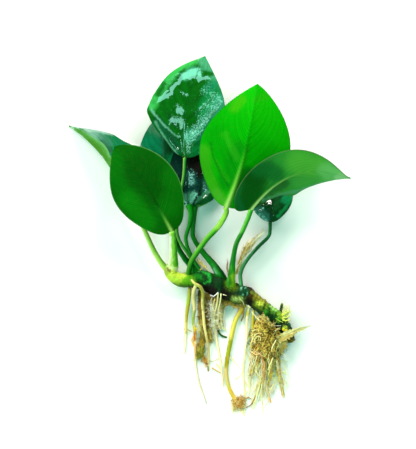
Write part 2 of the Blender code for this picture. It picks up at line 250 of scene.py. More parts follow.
skinLooks = {
    # living stalk: a thin smooth skin over long fibres
    "smoothPetiole": dict(ior=1.45, specular=0.06, roughness=0.42, streak=0.7, cloud=0.25,
                          cloudSize=3.0, grain=0.08, grainSize=0.5, bump=0.3),
    # creeping rhizome: knobbly bark-like skin with old scars
    "knobblyRhizome": dict(ior=1.45, specular=0.12, roughness=0.42, streak=0.0, cloud=0.6,
                           cloudSize=1.2, grain=0.75, grainSize=0.45, bump=1.0),
    # living root: smooth and a little waxy
    "waxyRoot": dict(ior=1.42, specular=0.08, roughness=0.5, streak=0.2, cloud=0.2,
                     cloudSize=2.0, grain=0.12, grainSize=0.5, bump=0.35),
    # old root under a felt of fine hairs
    "feltedRoot": dict(ior=1.4, specular=0.1, roughness=0.85, streak=0.3, cloud=0.9,
                       cloudSize=1.2, grain=0.7, grainSize=0.35, bump=0.9),
    # dead root fibres and hairs
    "dryFibre": dict(ior=1.4, specular=0.15, roughness=0.8, streak=0.0, cloud=0.5,
                     cloudSize=2.5, grain=0.2, grainSize=0.4, bump=0.2),
    # dead leaf base, thin as paper, with fine ribs
    "paperySheath": dict(ior=1.4, specular=0.15, roughness=0.8, streak=0.5, cloud=0.5,
                         cloudSize=1.5, grain=0.3, grainSize=0.3, bump=0.8),
}
streakLook = dict(size=0.35, stretch=12)


def skinFinish(name):
    look = skinLooks[name]
    finish, tree, skin = newFinish(name, look)
    coords = addNode(tree, "ShaderNodeTexCoord").outputs["Object"]
    cloud = centred(tree, coords, look["cloudSize"])
    grain = centred(tree, coords, look["grainSize"], 2.0)
    # streaks: the pattern is read round the stalk, and slower along it by their stretch
    place = {
        "X": maths(tree, "MULTIPLY", attribute(tree, "side").outputs["Fac"], mm),
        "Y": maths(tree, "MULTIPLY", attribute(tree, "front").outputs["Fac"], mm),
        "Z": maths(tree, "MULTIPLY", attribute(tree, "along").outputs["Fac"], mm / streakLook["stretch"]),
    }
    wrapped = addNode(tree, "ShaderNodeCombineXYZ", None, place).outputs[0]
    streak = centred(tree, wrapped, streakLook["size"], 2.0)
    light = brightness(tree, look, streak=streak, cloud=cloud, grain=grain)
    colour = scaled(tree, attribute(tree, "paint").outputs["Color"], light)
    height = maths(tree, "MULTIPLY_ADD", cloud, 1.5, maths(tree, "ADD", grain, streak))
    coverSkin(tree, skin, look, colour, height)
    return finish


finishes = {name: leafFinish(name) for name in leafLooks}
finishes |= {name: skinFinish(name) for name in skinLooks}
print("finishes made:", len(finishes))


def makeBody(name, rings, ends, finishNames, colours, marks, replaced=(), faceSlots=None,
             share=skinShare):
    # rings (bodies, rows, points, 3) in mm are joined row to row, and ends (bodies, 2, 3) close
    # them. Marks are the numbers that the finishes read, replaced are the CAD nodes it stands for.
    rings = rings.reshape((-1,) + rings.shape[-3:])
    count, rows, points = rings.shape[:3]
    places = np.concatenate([rings.reshape(-1, 3), np.reshape(ends, (-1, 3))])
    index = np.arange(count * rows * points).reshape(count, rows, points)
    after = np.roll(index, -1, axis=2)
    quads = np.stack([index[:, :-1], after[:, :-1], after[:, 1:], index[:, 1:]], axis=-1)
    first = count * rows * points + 2 * np.arange(count)[:, None] + 0 * index[:, 0]
    near = np.stack([first, after[:, 0], index[:, 0]], axis=-1).reshape(-1, 3)
    far = np.stack([first + 1, index[:, -1], after[:, -1]], axis=-1).reshape(-1, 3)
    quads, tris = quads.reshape(-1, 4), np.concatenate([near, far])
    # outward faces give a positive volume
    wedges = np.concatenate([tris, quads[:, :3], quads[:, [0, 2, 3]]])
    a, b, c = (places[wedges[:, i]] for i in range(3))
    if np.einsum("ij,ij->", a, np.cross(b, c)) < 0:
        quads, tris = quads[:, ::-1], tris[:, ::-1]
    mesh = bpy.data.meshes.new(name)
    mesh.from_pydata((places + plantShift) * mm, [], quads.tolist() + tris.tolist())
    mesh.shade_smooth()

    def perPlace(values):
        values = np.reshape(values, (count, rows, points, -1))
        tips = np.stack([values[:, 0].mean(axis=1), values[:, -1].mean(axis=1)], axis=1)
        return np.concatenate([values.reshape(-1, values.shape[-1]), tips.reshape(-1, values.shape[-1])])

    paint = np.clip(perPlace(colours) * share * windowTint, 0, brightest)
    paint = np.concatenate([paint, np.ones_like(paint[:, :1])], axis=1)
    mesh.attributes.new("paint", "FLOAT_COLOR", "POINT").data.foreach_set("color", paint.ravel())
    for key, values in marks.items():
        mesh.attributes.new(key, "FLOAT", "POINT").data.foreach_set("value", perPlace(values).ravel())
    for finishName in finishNames:
        mesh.materials.append(finishes[finishName])
    if faceSlots is not None:
        slots = np.tile(faceSlots, count * (rows + 1))
        mesh.polygons.foreach_set("material_index", slots.astype(np.int32))
    mesh.update()
    piece = bpy.data.objects.new(name, mesh)
    bpy.context.scene.collection.objects.link(piece)
    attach(piece, "root")
    if replaced:
        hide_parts(*replaced)
    return piece


endBulge = 0.6  # of a tube's own radius, at both ends


def tubeRings(paths, radii, sides, reference=(0.0, 0.0, 1.0)):
    # circles carried along paths (..., rows, 3); the reference keeps them from twisting
    radii = np.asarray(radii)
    along = unit(np.gradient(paths, axis=-2))
    side = unit(np.cross(along, reference))
    above = np.cross(side, along)
    angles = np.linspace(0, 2 * math.pi, sides, endpoint=False)
    out = side[..., None, :] * np.cos(angles)[:, None] + above[..., None, :] * np.sin(angles)[:, None]
    rings = paths[..., None, :] + out * radii[..., None, None]
    first = paths[..., 0, :] - endBulge * radii[..., 0, None] * along[..., 0, :]
    last = paths[..., -1, :] + endBulge * radii[..., -1, None] * along[..., -1, :]
    return rings, np.stack([first, last], axis=-2), out, angles


def tubeMarks(paths, angles):
    # along in mm from the start, and the place round the tube as side and front
    steps = np.linalg.norm(np.diff(paths, axis=-2), axis=-1)
    along = np.concatenate([0 * steps[..., :1], np.cumsum(steps, axis=-1)], axis=-1)[..., None]
    shape = along.shape[:-1] + angles.shape
    return {
        "along": np.broadcast_to(along, shape),
        "side": np.broadcast_to(np.cos(angles), shape),
        "front": np.broadcast_to(np.sin(angles), shape),
    }


# midrib has the places at the base, one third, two thirds and the tip. Pairs are (left, right) as
# the upper face shows them with the tip up, and roll and fold are at (base, tip). seen is the face
# that looks up, and back is the other one's colour. Creases are (height, reach, route) and wet
# strokes are (amount, reach, route), with flat routes as in strokes. trims change a half's width:
# (side, place, reach along the leaf, mm). ribPaint has (place from base 0 to tip 1, hex, amount),
# rims have (side, first and last place, hex, amount, reach in mm), bands is the strength of the
# light and dark bands that run with the veins, and top and foot are the stalk's colours at its left,
# middle and right.
# the stalk's paler left and darker right are partly painted light and painted shade
leafDefaults = dict(
    lobes=(2, 2), roll=(0, 0), fold=(10, 10), curl=(0.0, 3.0), trims=(), wave=0.5, waves=2.0,
    basePower=(0.6, 0.6), tipPower=(0.85, 0.85), seen="upper", back="#2f8f2a", ribHeight=0.35,
    ribFade=1.2, ribWidth=(0.8, 0.35), veins=48, sweep=0.42, veinShow=0.6, bands=0.12, bandCount=7,
    strokes=(), rims=(), backStrokes=(), wet=0.0, wetStrokes=(), creases=(), stemStrokes=(),
    ribPaint=((0, "#5aa63c", 0.8), (1, "#5aa63c", 0.2)), slot="leaf_dark", stemSlot="stem_green",
)
leaves = {
    "left": dict(
        midrib=(-42, 21, 8.6, -50.5, 35, 9.6, -59.5, 45.5, 6.6, -70.5, 54, 0.6),
        stem=(-37.5, 13, 8.5, -33, 3, 8, -28.5, -7, 8, -25, -13, 8.5, -22.6, -16.2, 9), halves=(17, 17),
        tipPower=(1.3, 1.3), roll=(68, 68), fold=(36, 36), stemRadii=(1.5, 1.25, 1.0), base="#0b7a44",
        ribHeight=0.2, share=0.8, bands=0.1, sweep=0.7, wave=0.8, waves=3.2,
        # the grey-green strokes #74a890 and #9cc4b0 on the upper half are painted sheen
        strokes=(
            ("#74a890", 0.9, 3.0, (-63.1, 51.5, -59.1, 50, -56.1, 49)),
            ("#3c8464", 0.8, 2.6, (-54.1, 48, -51.1, 45.5)),
            ("#9cc4b0", 0.9, 1.0, (-68.1, 54, -62.1, 52, -55.1, 51.5, -49.1, 50)),
            ("#0a7a48", 0.9, 3.4, (-46.1, 48, -44.1, 43)),
            ("#5fae4c", 1.0, 2.6, (-65.1, 49.5, -59.1, 43.5, -53.1, 38, -50.1, 34.5)),
            ("#84bc58", 0.8, 1.0, (-66.1, 51.5, -60.1, 45.5, -54.6, 40, -51.1, 36)),
            ("#c8f0c8", 0.9, 0.9, (-61.1, 43.5, -56.1, 38, -51.6, 33.5)),
            ("#3c6a50", 0.8, 0.45, (-65.1, 52.5, -58.1, 47.5, -50.1, 41)),
            ("#2f5c44", 0.6, 1.0, (-54.1, 46.5, -50.1, 42)),
        ),
        back="#4c9c2c",
        backStrokes=(
            ("#6cb86c", 0.8, 0.8, (-63.6, 52, -59.1, 49, -54.6, 46, -51.6, 42.5, -49.6, 39)),
            ("#3f8c14", 0.9, 1.3, (-60.1, 46.5, -56.1, 43, -52.1, 37.5)),
            ("#b8e8bc", 0.9, 0.6, (-69.6, 53.5, -63.6, 48.5, -57.9, 42.5, -53.4, 37.8, -50.6, 33.5)),
        ),
        foot=("#cce860", "#9cdc48", "#748a24"), top=("#d4f4b8", "#8cdc54", "#3f9a2c"), stemSlot="stem_pale",
    ),
    "front_left": dict(
        midrib=(-18.5, 1.5, 28, -26, 15.5, 33, -34.5, 29, 37, -45, 41.5, 38),
        stem=(-18, -5, 22, -18.1, -10.5, 16, -18.3, -14.2, 12.0), halves=(15.5, 17.0), basePower=(0.7, 0.72),
        tipPower=(0.78, 0.76), roll=(180, 180), stemRadii=(2.7, 2.2, 1.8, 1.3), seen="under", base="#016e05",
        back="#06500c", share=0.56,
        ribPaint=(
            (0, "#b4ec6c", 1.0), (0.1, "#7cd048", 0.9), (0.2, "#2f9a24", 0.8), (0.3, "#03480a", 0.7),
            (0.5, "#024a08", 0.45), (0.75, "#025006", 0.25), (1, "#025006", 0.0),
        ),
        ribWidth=(0.75, 0.3), veins=32, sweep=0.34, bands=0.04, bandCount=11, veinShow=0.8,
        strokes=(
            ("#015c06", 0.6, 9.0, (-35.1, 31, -26.1, 23)),
            ("#01880a", 0.6, 4.5, (-48.1, 38, -47.1, 29, -43.1, 19)),
            ("#0a9a0c", 0.7, 5.5, (-40.1, 17, -32.1, 6)),
            ("#0a8c0c", 0.6, 6.0, (-21.1, 14, -17.1, 22, -19.1, 28)),
        ),
        rims=((-1, 0.1, 0.95, "#7cc46c", 0.9, 0.3), (1, 0.1, 0.95, "#6cb45c", 0.8, 0.28)),
        foot=("#f0ffb8", "#a0ec30", "#40b81c"), top=("#d4f490", "#88e034", "#149020"),
        # the pale #fcffec and #f0ffb0 down the left side are partly the stalk's own pale colour and partly
        # painted highlight
        stemStrokes=(
            ("#fcffec", 0.8, 0.8, (-20.1, -2, -20.9, -14)),
            ("#3ca01c", 0.85, 0.7, (-16.6, 0, -16.4, -7, -16.1, -13)),
            ("#8ce83c", 0.8, 0.7, (-18.4, 1, -18.1, -14)), ("#f0ffb0", 0.7, 0.35, (-19.1, -8, -18.9, -16)),
        ),
        stemSlot="stem_pale",
    ),
    "top": dict(
        midrib=(-12.5, 37.5, 13, -12.5, 53, 18, -9, 70.5, 22, -2.5, 86.5, 22),
        stem=(
            -13, 29, 11, -15, 17, 9.5, -16.5, 4.5, 9, -15.5, -2.5, 9.5, -11.5, -9, 10, -9.5, -12.5, 10, -8.6,
            -18.6, 8.6, -8.3, -20.5, 7.6,
        ),
        halves=(18.5, 19), basePower=(1.1, 0.85), tipPower=(1.3, 1.0), lobes=(1, 3), fold=(4, 4),
        curl=(0.7, 2.5), trims=((-1, 0.2, 0.12, -3.2), (-1, 0.415, 0.04, 0.9), (-1, 0.6, 0.1, -0.9)),
        stemRadii=(0.9, 0.8, 0.8), base="#016a0a", back="#1f7a2a", share=0.7, bands=0.1,
        ribPaint=((0, "#2f9a48", 0.8), (0.3, "#136f2c", 0.6), (0.6, "#015c08", 0.5), (1, "#015c08", 0.2)),
        # the mint strokes #4fb880, #4fc48c, #3cac7c, #8cd8b0 and #55c090 are painted reflection under the
        # water film
        strokes=(
            ("#3fc858", 0.9, 2.4, (-29.1, 64, -25.1, 72, -19.1, 79.5, -12.1, 85, -5.1, 88.5)),
            ("#016a08", 0.9, 1.5, (-26.1, 70, -23.1, 75)), ("#016008", 0.9, 1.3, (-16.1, 78.5, -13.1, 81.5)),
            ("#4fb880", 0.9, 3.0, (-3.1, 86, 0.9, 81, 3.9, 75)),
            ("#4fc48c", 0.9, 2.2, (-12.1, 79, -9.1, 81.5, -5.1, 81)),
            ("#016a0a", 1.0, 1.5, (-3.6, 80.5, 0.4, 80)),
            ("#069048", 0.8, 4.2, (3.9, 73, -1.1, 65, -4.1, 61)), ("#0a8f5a", 0.7, 2.4, (1.4, 75, -2.1, 72)),
            ("#3cac7c", 0.9, 3.6, (5.9, 67, 0.9, 59, -5.1, 52, -10.1, 49)),
            ("#0a8450", 0.6, 0.7, (3.9, 65, -2.1, 58, -7.1, 53)),
            ("#0a7c48", 0.6, 0.6, (0.9, 57, -4.1, 51, -8.1, 46)),
            ("#8cd8b0", 0.6, 0.6, (1.9, 62, -3.1, 56, -9.1, 50)),
            ("#04804c", 0.8, 2.6, (0.9, 56, -3.1, 48, -5.1, 42)),
            ("#016608", 0.8, 3.0, (-7.1, 75, -8.1, 65, -9.1, 56)),
            ("#045a18", 0.7, 2.0, (-17.1, 55, -20.1, 59)),
            ("#0b6a3c", 0.9, 2.6, (-26.1, 56, -21.1, 50, -16.1, 42)),
            ("#7cd0a8", 0.9, 0.5, (-29.6, 62.5, -27.1, 59, -22.6, 54, -16.1, 48.5)),
            ("#67b890", 0.8, 0.5, (-27.6, 56, -23.6, 49.5, -19.1, 43, -15.6, 39)),
            ("#0c8f44", 0.9, 2.6, (-7.1, 42, -9.6, 38)),
            ("#55c090", 0.8, 0.6, (-11.6, 36, -8.6, 36, -5.6, 39.5, -3.6, 45, 1.9, 53)),
        ),
        creases=(
            (-1.0, 1.6, (-27.1, 57, -22.1, 50, -17.1, 43)), (0.5, 2.0, (-29.1, 62, -22.1, 55, -15.1, 49)),
        ),
        wet=0.0,
        wetStrokes=(
            (
                1.6, 0.8,
                (
                    -28.6, 66, -25.6, 66.8, -23.6, 68.2, -21.1, 69, -19.6, 70.5, -19.1, 73, -18.1, 74.2,
                    -15.1, 76.2, -14.6, 78.5,
                ),
            ),
            (1.3, 0.7, (-26.1, 67.5, -23.6, 69, -21.6, 71.5)),
            (1.6, 2.0, (-10.6, 79.5, -8.6, 81.5, -6.1, 81.5)),
            (1.6, 1.1, (-14.1, 78, -12.1, 79.8, -10.1, 78.5, -7.1, 79, -5.1, 77.8)),
            (1.5, 0.8, (-5.6, 77, -3.6, 77.8, -1.6, 78.2, -0.1, 78.5)), (0.4, 1.4, (-5.1, 86, -3.6, 83)),
            (0.3, 1.4, (-23.6, 74, -20.1, 77, -15.1, 81)),
            (0.44, 3.2, (5.4, 67.5, 1.4, 61, -3.1, 56.5, -7.1, 52)),
            (0.46, 2.8, (-3.1, 56, -7.1, 51.5, -11.1, 46.5, -12.1, 41)), (0.44, 1.6, (-2.1, 65, -6.1, 60)),
            (0.38, 2.6, (1.4, 70, -1.1, 64, -4.1, 60)), (0.34, 2.0, (-1.1, 74, -3.6, 71)),
            (1.6, 1.2, (-16.1, 61.8, -14.4, 61.2)), (0.62, 0.9, (-16.6, 64.5, -14.6, 63.5)),
            (0.5, 1.0, (-14.6, 71, -12.1, 69.5)),
            (0.8, 2.4, (-18.6, 56.5, -15.6, 56.5, -13.6, 53.5, -13.6, 50)),
            (0.0, 0.6, (-18.1, 55, -16.1, 55.2, -16.1, 53.5)),
            (1.4, 0.5, (-20.1, 55.8, -19.1, 55, -17.1, 54.8)),
            (0.9, 1.0, (-20.6, 49.5, -18.6, 48.2, -16.1, 47.5)),
            (1.3, 0.5, (-21.1, 50, -20.1, 47.5, -18.6, 46.5)),
            (0.9, 0.6, (-19.6, 46, -17.6, 44, -16.1, 41.5)), (0.58, 2.0, (-14.1, 49, -12.1, 43, -11.6, 39)),
            (0.45, 0.7, (-12.1, 36, -9.1, 36)),
        ),
        foot=("#2fa02c", "#0a7c18", "#034c10"), top=("#9cdc60", "#38a438", "#085c14"),
    ),
    "back_left": dict(
        midrib=(-14.5, 13.5, 5, -18.5, 28, 5, -23, 43, 3.3, -26.5, 58, 0.6),
        stem=(-17, 4.5, 5.5, -16.5, -5, 6, -13, -11.5, 6.4, -10, -15, 6.6, -7.8, -17.3, 7), halves=(16, 11),
        roll=(10, 10), fold=(5, 5), stemRadii=(2.0, 1.3, 1.0), base="#026a34", share=0.66,
        ribPaint=((0, "#0f6a3c", 0.6), (1, "#0f6a3c", 0.3)),
        # 4f9c70 is painted sheen, and #044c20 is painted shadow cast by the top leaf
        strokes=(
            ("#4f9c70", 0.9, 3.2, (-29.1, 53, -26.1, 51)), ("#06a068", 0.9, 5.0, (-31.1, 46, -26.6, 43.5)),
            ("#044c20", 0.95, 3.0, (-21.1, 47, -20.6, 41)),
            ("#2f8060", 0.8, 0.5, (-24.1, 51, -24.1, 44, -23.6, 38)),
            ("#04a458", 0.9, 4.2, (-18.6, 36, -14.1, 26)),
        ),
        wetStrokes=((0.42, 1.6, (-17.1, 34, -14.6, 29)), (0.38, 1.2, (-13.1, 28, -13.6, 24))),
        creases=((-0.25, 1.4, (-18.1, 37, -14.6, 28)),), foot=("#0c9420", "#046c0c", "#024408"),
        top=("#2fa048", "#047018", "#024c0c"),
    ),
    "back_middle": dict(
        midrib=(-10.5, 14.5, 7, -11.5, 26.5, 7.5, -11, 39, 6.5, -9, 50.5, 4),
        stem=(
            -9.4, 10.5, 7.5, -10.2, 5, 7, -11.2, 1.8, 7, -12, -1.5, 7, -11.6, -5.5, 7.2, -10, -9.5, 7.5, -8,
            -13.5, 8, -5.2, -17.6, 8, -4, -20, 7.4,
        ),
        halves=(9, 7.5), stemRadii=(1.1, 0.95, 0.9, 0.95, 1.7), base="#03382c", share=0.62,
        ribPaint=((0, "#05402a", 0.6), (1, "#05402a", 0.3)),
        # 2c6f60 and #5fbc94 are painted reflection; #140f0a and the thin #02180e line along the lower margin
        # are painted shade
        strokes=(
            ("#140f0a", 1.0, 4.6, (-8.1, 37, -7.1, 32)), ("#2c6f60", 0.8, 2.6, (-10.1, 29.5, -9.1, 26)),
            ("#04483c", 0.8, 2.6, (-11.1, 23, -9.1, 22)), ("#5fbc94", 0.95, 3.0, (-11.6, 18, -8.1, 18)),
            ("#02180e", 0.9, 0.6, (-5.1, 21.5, -8.1, 15.5, -12.1, 12)),
        ),
        wetStrokes=(
            (0.55, 2.4, (-9.6, 30.5, -10.1, 26)), (0.0, 0.6, (-8.1, 29, -7.6, 28)),
            (0.6, 2.2, (-8.1, 19.5, -11.1, 17, -12.6, 14)), (1.2, 0.4, (-7.1, 33, -6.6, 30)),
        ),
        creases=(
            (0.5, 2.0, (-11.6, 33, -11.1, 27, -11.6, 23)), (0.4, 1.6, (-13.1, 18, -11.1, 15, -12.1, 12)),
        ),
        foot=("#5cc45c", "#0c8418", "#045c10"), top=("#20b428", "#0c9c18", "#046c10"),
    ),
    "middle": dict(
        midrib=(-8, 13.5, 5, -1, 21, 4.8, 7, 31, 3.4, 14, 44, 1),
        stem=(
            -8.3, 8.5, 5, -8.6, 2.5, 5.5, -8.6, -1, 5.7, -6.6, -5, 6, -3, -9.8, 6.5, 1.5, -15, 7.4, 3.6,
            -18.2, 7.6, 4.8, -20.6, 7,
        ),
        halves=(8, 5), basePower=(0.8, 0.8), lobes=(0.5, 0.5), stemRadii=(2.8, 2.0, 1.4, 1.1, 1.1, 1.9),
        base="#055a2c", share=0.66, ribPaint=((0, "#2f9a3c", 0.6), (1, "#2f9a3c", 0.3)),
        # 3f8470 and the pale stripe #7cd0a4 are painted sheen
        strokes=(
            ("#3f8470", 0.9, 2.6, (-4.1, 26, -2.6, 22)), ("#045c24", 0.9, 2.2, (-6.1, 15.5, -0.1, 18)),
            ("#7cd0a4", 0.95, 1.2, (-9.6, 15, -7.1, 17, -4.1, 18.5, -1.1, 21)),
            ("#6fc060", 0.8, 0.5, (-8.6, 14, -3.6, 14, 0.9, 16)),
        ),
        wetStrokes=((0.5, 1.6, (-4.6, 26, -3.1, 22)), (0.6, 0.5, (-7.6, 16, -2.1, 19.5))),
        creases=((0.35, 1.6, (-2.1, 26, -1.1, 22)),), foot=("#0c8c1c", "#056c10", "#024808"),
        top=("#2cb034", "#0c981c", "#067018"),
        # a4e8b0 near the foot is a painted highlight
        stemStrokes=(
            ("#a4e8b0", 0.8, 0.7, (1.9, -17.5, 2.9, -19.5)), ("#2c9a34", 0.7, 0.8, (0.9, -15, 4.4, -20)),
            ("#034410", 0.7, 1.0, (4.4, -16, 6.9, -21)),
        ),
    ),
    "large": dict(
        midrib=(7.5, 13, 30, 14, 31.5, 38, 18.5, 50, 43, 22, 70.5, 41),
        stem=(
            7.5, 10, 28.5, 4, 4, 26, -1.5, -2, 22.5, -6.6, -9, 18, -9.2, -13.4, 14, -10.4, -17.6, 10.6,
            -10.6, -20.5, 8.4,
        ),
        halves=(24, 21.3), basePower=(0.6, 0.86), tipPower=(0.7, 0.95), roll=(200, 195),
        stemRadii=(1.3, 1.3, 1.3, 1.35, 1.1), seen="under", base="#01b401", back="#0a6a10", share=0.74,
        ribHeight=0.5, ribWidth=(1.15, 0.35), veins=34, sweep=0.62, bands=0.05, bandCount=10, veinShow=0.75,
        ribPaint=(
            (0, "#c4f47c", 1.0), (0.15, "#9cea54", 0.95), (0.3, "#6cd838", 0.85), (0.42, "#3fc41c", 0.7),
            (0.52, "#078c08", 0.6), (0.8, "#069408", 0.45), (1, "#069408", 0.1),
        ),
        # 01700c is painted shadow cast by the right leaf, and the thin dark #0a7c0a line is painted shade
        # along the crease
        strokes=(
            ("#0cc402", 0.7, 10.0, (19.9, 69, 30.9, 57, 35.9, 47)),
            ("#01b003", 0.6, 5.0, (22.9, 41, 27.9, 44)), ("#019c03", 0.6, 7.0, (8.9, 42, 2.9, 48)),
            ("#50bc0c", 0.5, 2.6, (11.9, 63, 15.4, 67)), ("#30b40c", 0.4, 2.0, (22.9, 67, 27.9, 69)),
            ("#01880a", 0.6, 5.0, (10.9, 29, 7.9, 26, 14.9, 42)),
            ("#3cb014", 0.8, 3.0, (-3.1, 42, -2.1, 32, 0.9, 24, 4.9, 18)),
            ("#50b82c", 0.6, 2.2, (2.9, 21, 5.9, 17, 7.4, 14.5)),
            ("#38c41c", 0.4, 1.8, (7.4, 50, 10.4, 44, 13.4, 38)),
            ("#2cb414", 0.35, 1.2, (2.4, 37, 5.9, 31, 8.9, 27)),
            ("#0a7c0a", 0.8, 0.45, (-0.1, 46, 1.4, 39, 5.4, 30, 9.4, 23.5)),
            ("#01700c", 0.8, 3.6, (14.9, 25, 17.9, 31)),
        ),
        rims=((-1, 0.05, 0.9, "#0f7a14", 0.7, 0.35), (1, 0.05, 0.9, "#0f7a14", 0.7, 0.35)),
        foot=("#2c8c1c", "#0a7010", "#034808"), top=("#94e44c", "#2cac1c", "#0c8010"),
        stemStrokes=(
            ("#a4e050", 0.8, 2.4, (7.9, 15, 6.9, 9, 4.4, 4)),
            ("#2f9a20", 0.8, 1.2, (9.9, 13, 8.4, 7, 5.9, 2)),
            ("#8cc454", 0.7, 0.5, (0.9, 3, -3.6, -2, -8.1, -8)),
        ),
        slot="leaf_bright", stemSlot="stem_bright",
    ),
    "right": dict(
        midrib=(19.5, 12, 28.5, 33.5, 25.5, 32, 49.5, 30.5, 29, 68, 27, 20),
        stem=(
            18, 7.5, 26, 15.5, 1.5, 23, 12.5, -5, 19, 11, -13.5, 14, 10.5, -20, 12.3, 10.1, -23.2, 10.8,
            10.1, -25.8, 8.6,
        ),
        halves=(18, 18), basePower=(0.6, 0.78), tipPower=(1.1, 1.35), lobes=(2, 6.2), roll=(-126, -124),
        fold=(25, -20), stemRadii=(3.0, 2.1, 1.2, 1.1, 1.2), seen="under", base="#2f9a30", back="#0f5c1c",
        share=1.0, ribHeight=0.45, ribWidth=(0.8, 0.3), veins=32, sweep=0.9, bands=0.07, bandCount=9,
        veinShow=0.8,
        ribPaint=(
            (0, "#a8d478", 1.0), (0.35, "#8cc45c", 0.9), (0.55, "#6cb040", 0.6), (0.8, "#3c8a24", 0.3),
            (1, "#2c7a24", 0.1),
        ),
        # the dark strokes #02500e and #06602c at the base are painted shade, and #54b836, #6cc464 and
        # #a0d890 towards the tip are painted light
        strokes=(
            ("#02500e", 1.0, 8.5, (22.4, 30, 19.9, 19, 17.9, 13)),
            ("#06602c", 0.7, 2.0, (13.9, 24, 12.9, 19, 15.4, 13)),
            ("#0a6a26", 0.85, 4.6, (23.9, 33, 28.9, 33, 32.9, 30)),
            ("#2c8a30", 0.6, 2.0, (25.9, 37.5, 31.9, 40)), ("#54b836", 0.9, 6.5, (43.9, 36, 53.9, 33)),
            ("#6cc464", 0.9, 5.0, (57.9, 31, 64.9, 28.5)), ("#a0d890", 0.8, 2.0, (63.9, 28.5, 69.4, 27.8)),
            ("#0c6c1c", 0.9, 2.6, (29.9, 22, 36.9, 25.5)), ("#40a43c", 0.7, 2.8, (43.9, 26, 53.9, 27.5)),
            ("#58a470", 0.7, 0.9, (25.9, 17, 34.9, 20, 44.9, 22, 55.9, 25.5, 64.9, 26.5)),
        ),
        rims=((-1, 0.1, 0.98, "#4c6440", 0.75, 0.26), (1, 0.1, 0.98, "#4c6440", 0.75, 0.26)),
        foot=("#0c7c14", "#046c10", "#0a780c"), top=("#8ce45c", "#2cac24", "#0c8818"),
        stemStrokes=(
            ("#7cb41c", 0.95, 2.2, (11.9, -21.5, 11.9, -28)), ("#067008", 0.8, 0.7, (9.6, -14, 9.9, -25)),
            ("#0a7a20", 0.8, 1.6, (14.9, -1, 12.4, -8, 10.9, -14)),
        ),
        slot="leaf_bright", stemSlot="stem_bright",
    ),
    "right_back": dict(
        midrib=(29.5, 6, 9, 31, 14.5, 7.6, 33, 23, 5, 36, 34.5, 1),
        stem=(
            29.5, 2, 8.6, 28.5, -1.5, 8.4, 23.5, -6.5, 8, 18, -13, 7.8, 15, -19, 8, 15.1, -24.6, 9.0, 15.2,
            -26.8, 7.4,
        ),
        halves=(14, 9), basePower=(0.8, 0.8), lobes=(1, 1), stemRadii=(1.1, 0.9, 0.8), base="#03481c",
        share=0.72, ribPaint=((0, "#04401c", 0.7), (1, "#04401c", 0.3)),
        # 3c9078 is painted reflection
        strokes=(
            ("#3c9078", 0.9, 3.2, (21.9, 12, 26.9, 8)), ("#0c9a5a", 0.9, 2.2, (37.4, 17, 40.4, 19.5)),
            ("#10a050", 0.8, 0.9, (33.9, 9, 38.4, 14, 41.4, 19)),
            ("#0a5c24", 0.9, 1.6, (33.4, 17.5, 32.9, 13)),
        ),
        wetStrokes=(
            (1.5, 0.8, (27.9, 15, 29.4, 16.5, 29.9, 14.5, 29.4, 12.5, 31.4, 12, 30.9, 9.5)),
            (0.6, 1.8, (22.4, 12.5, 25.9, 13.5)), (0.42, 1.6, (23.9, 9, 27.9, 7)),
            (0.5, 1.2, (36.9, 17.5, 39.9, 19)),
        ),
        creases=((0.35, 1.0, (26.9, 13, 29.4, 15, 31.9, 14)), (0.3, 1.2, (23.9, 11, 27.9, 9))),
        foot=("#8cdca0", "#4cac5c", "#08602c"), top=("#0c7c3c", "#025c20", "#013c14"),
        stemStrokes=(("#044c20", 0.8, 1.6, (27.9, 6, 26.9, -3, 22.9, -9)),),
    ),
}
leafGrid = dict(
    rows=120, columns=81, thickness=0.9, margin=0.3, lobePeak=0.08, veinBend=1.3, veinDip=0.04,
    veinRise=0.05, rimFade=0.05,
)


def midribAt(leaf, u):
    # the cubic through the four midrib places, its direction, the upper face's and the right one
    cubic = np.polyfit([0, 1 / 3, 2 / 3, 1], np.reshape(leaf["midrib"], (4, 3)), 3)
    place = np.stack([u**3, u**2, u, np.ones_like(u)], axis=-1) @ cubic
    along = unit(np.stack([3 * u**2, 2 * u, np.ones_like(u)], axis=-1) @ cubic[:3])
    level = unit(np.cross(along, [0.0, 0.0, 1.0]))
    above = np.cross(level, along)
    first, last = np.radians(leaf["roll"])
    turn = (first + (last - first) * u)[..., None]
    upper = above * np.cos(turn) + level * np.sin(turn)
    return place, upper, np.cross(along, upper)


def leafSurface(leaf, u, v):
    # u runs from base to tip, v from the left margin (-1) to the right one (1). A half's width is
    # u^basePower (1 - u)^tipPower, scaled to its greatest width. It rises from the midrib by its
    # fold, its base is drawn back into a lobe, and its margin ripples.
    length = np.linalg.norm(np.diff(np.reshape(leaf["midrib"], (4, 3)), axis=0), axis=1).sum()
    pick = {key: np.where(v > 0, leaf[key][1], leaf[key][0])
            for key in ("halves", "basePower", "tipPower", "lobes")}
    widest = pick["basePower"] / (pick["basePower"] + pick["tipPower"])
    outline = (u / widest) ** pick["basePower"] * ((1 - u) / (1 - widest)) ** pick["tipPower"]
    across = np.abs(v) * outline
    width = pick["halves"] * across
    for side, centre, reach, change in leaf["trims"]:
        width = width + change * np.abs(v) * (v * side > 0) * np.exp(-(((u - centre) / reach) ** 2))
    peak = leafGrid["lobePeak"]
    station = u - pick["lobes"] * v**2 * (u / peak) * np.exp(1 - u / peak) / length
    place, upper, side = midribAt(leaf, station)
    lift = np.radians(leaf["fold"][0] + (leaf["fold"][1] - leaf["fold"][0]) * u)
    rise = width * np.sin(lift)
    rise = rise + leaf["wave"] * across**3 * np.sin(2 * math.pi * leaf["waves"] * u + np.sign(v))
    # the rim curls down within a few mm of the margin
    height, reach = leaf["curl"]
    rise = rise - height * np.exp(-pick["halves"] * outline * (1 - np.abs(v)) / reach)
    outward = np.sign(v)[..., None] * side
    place = place + (width * np.cos(lift))[..., None] * outward + rise[..., None] * upper
    face = upper * np.cos(lift)[..., None] - outward * np.sin(lift)[..., None]
    return place, face, width, across


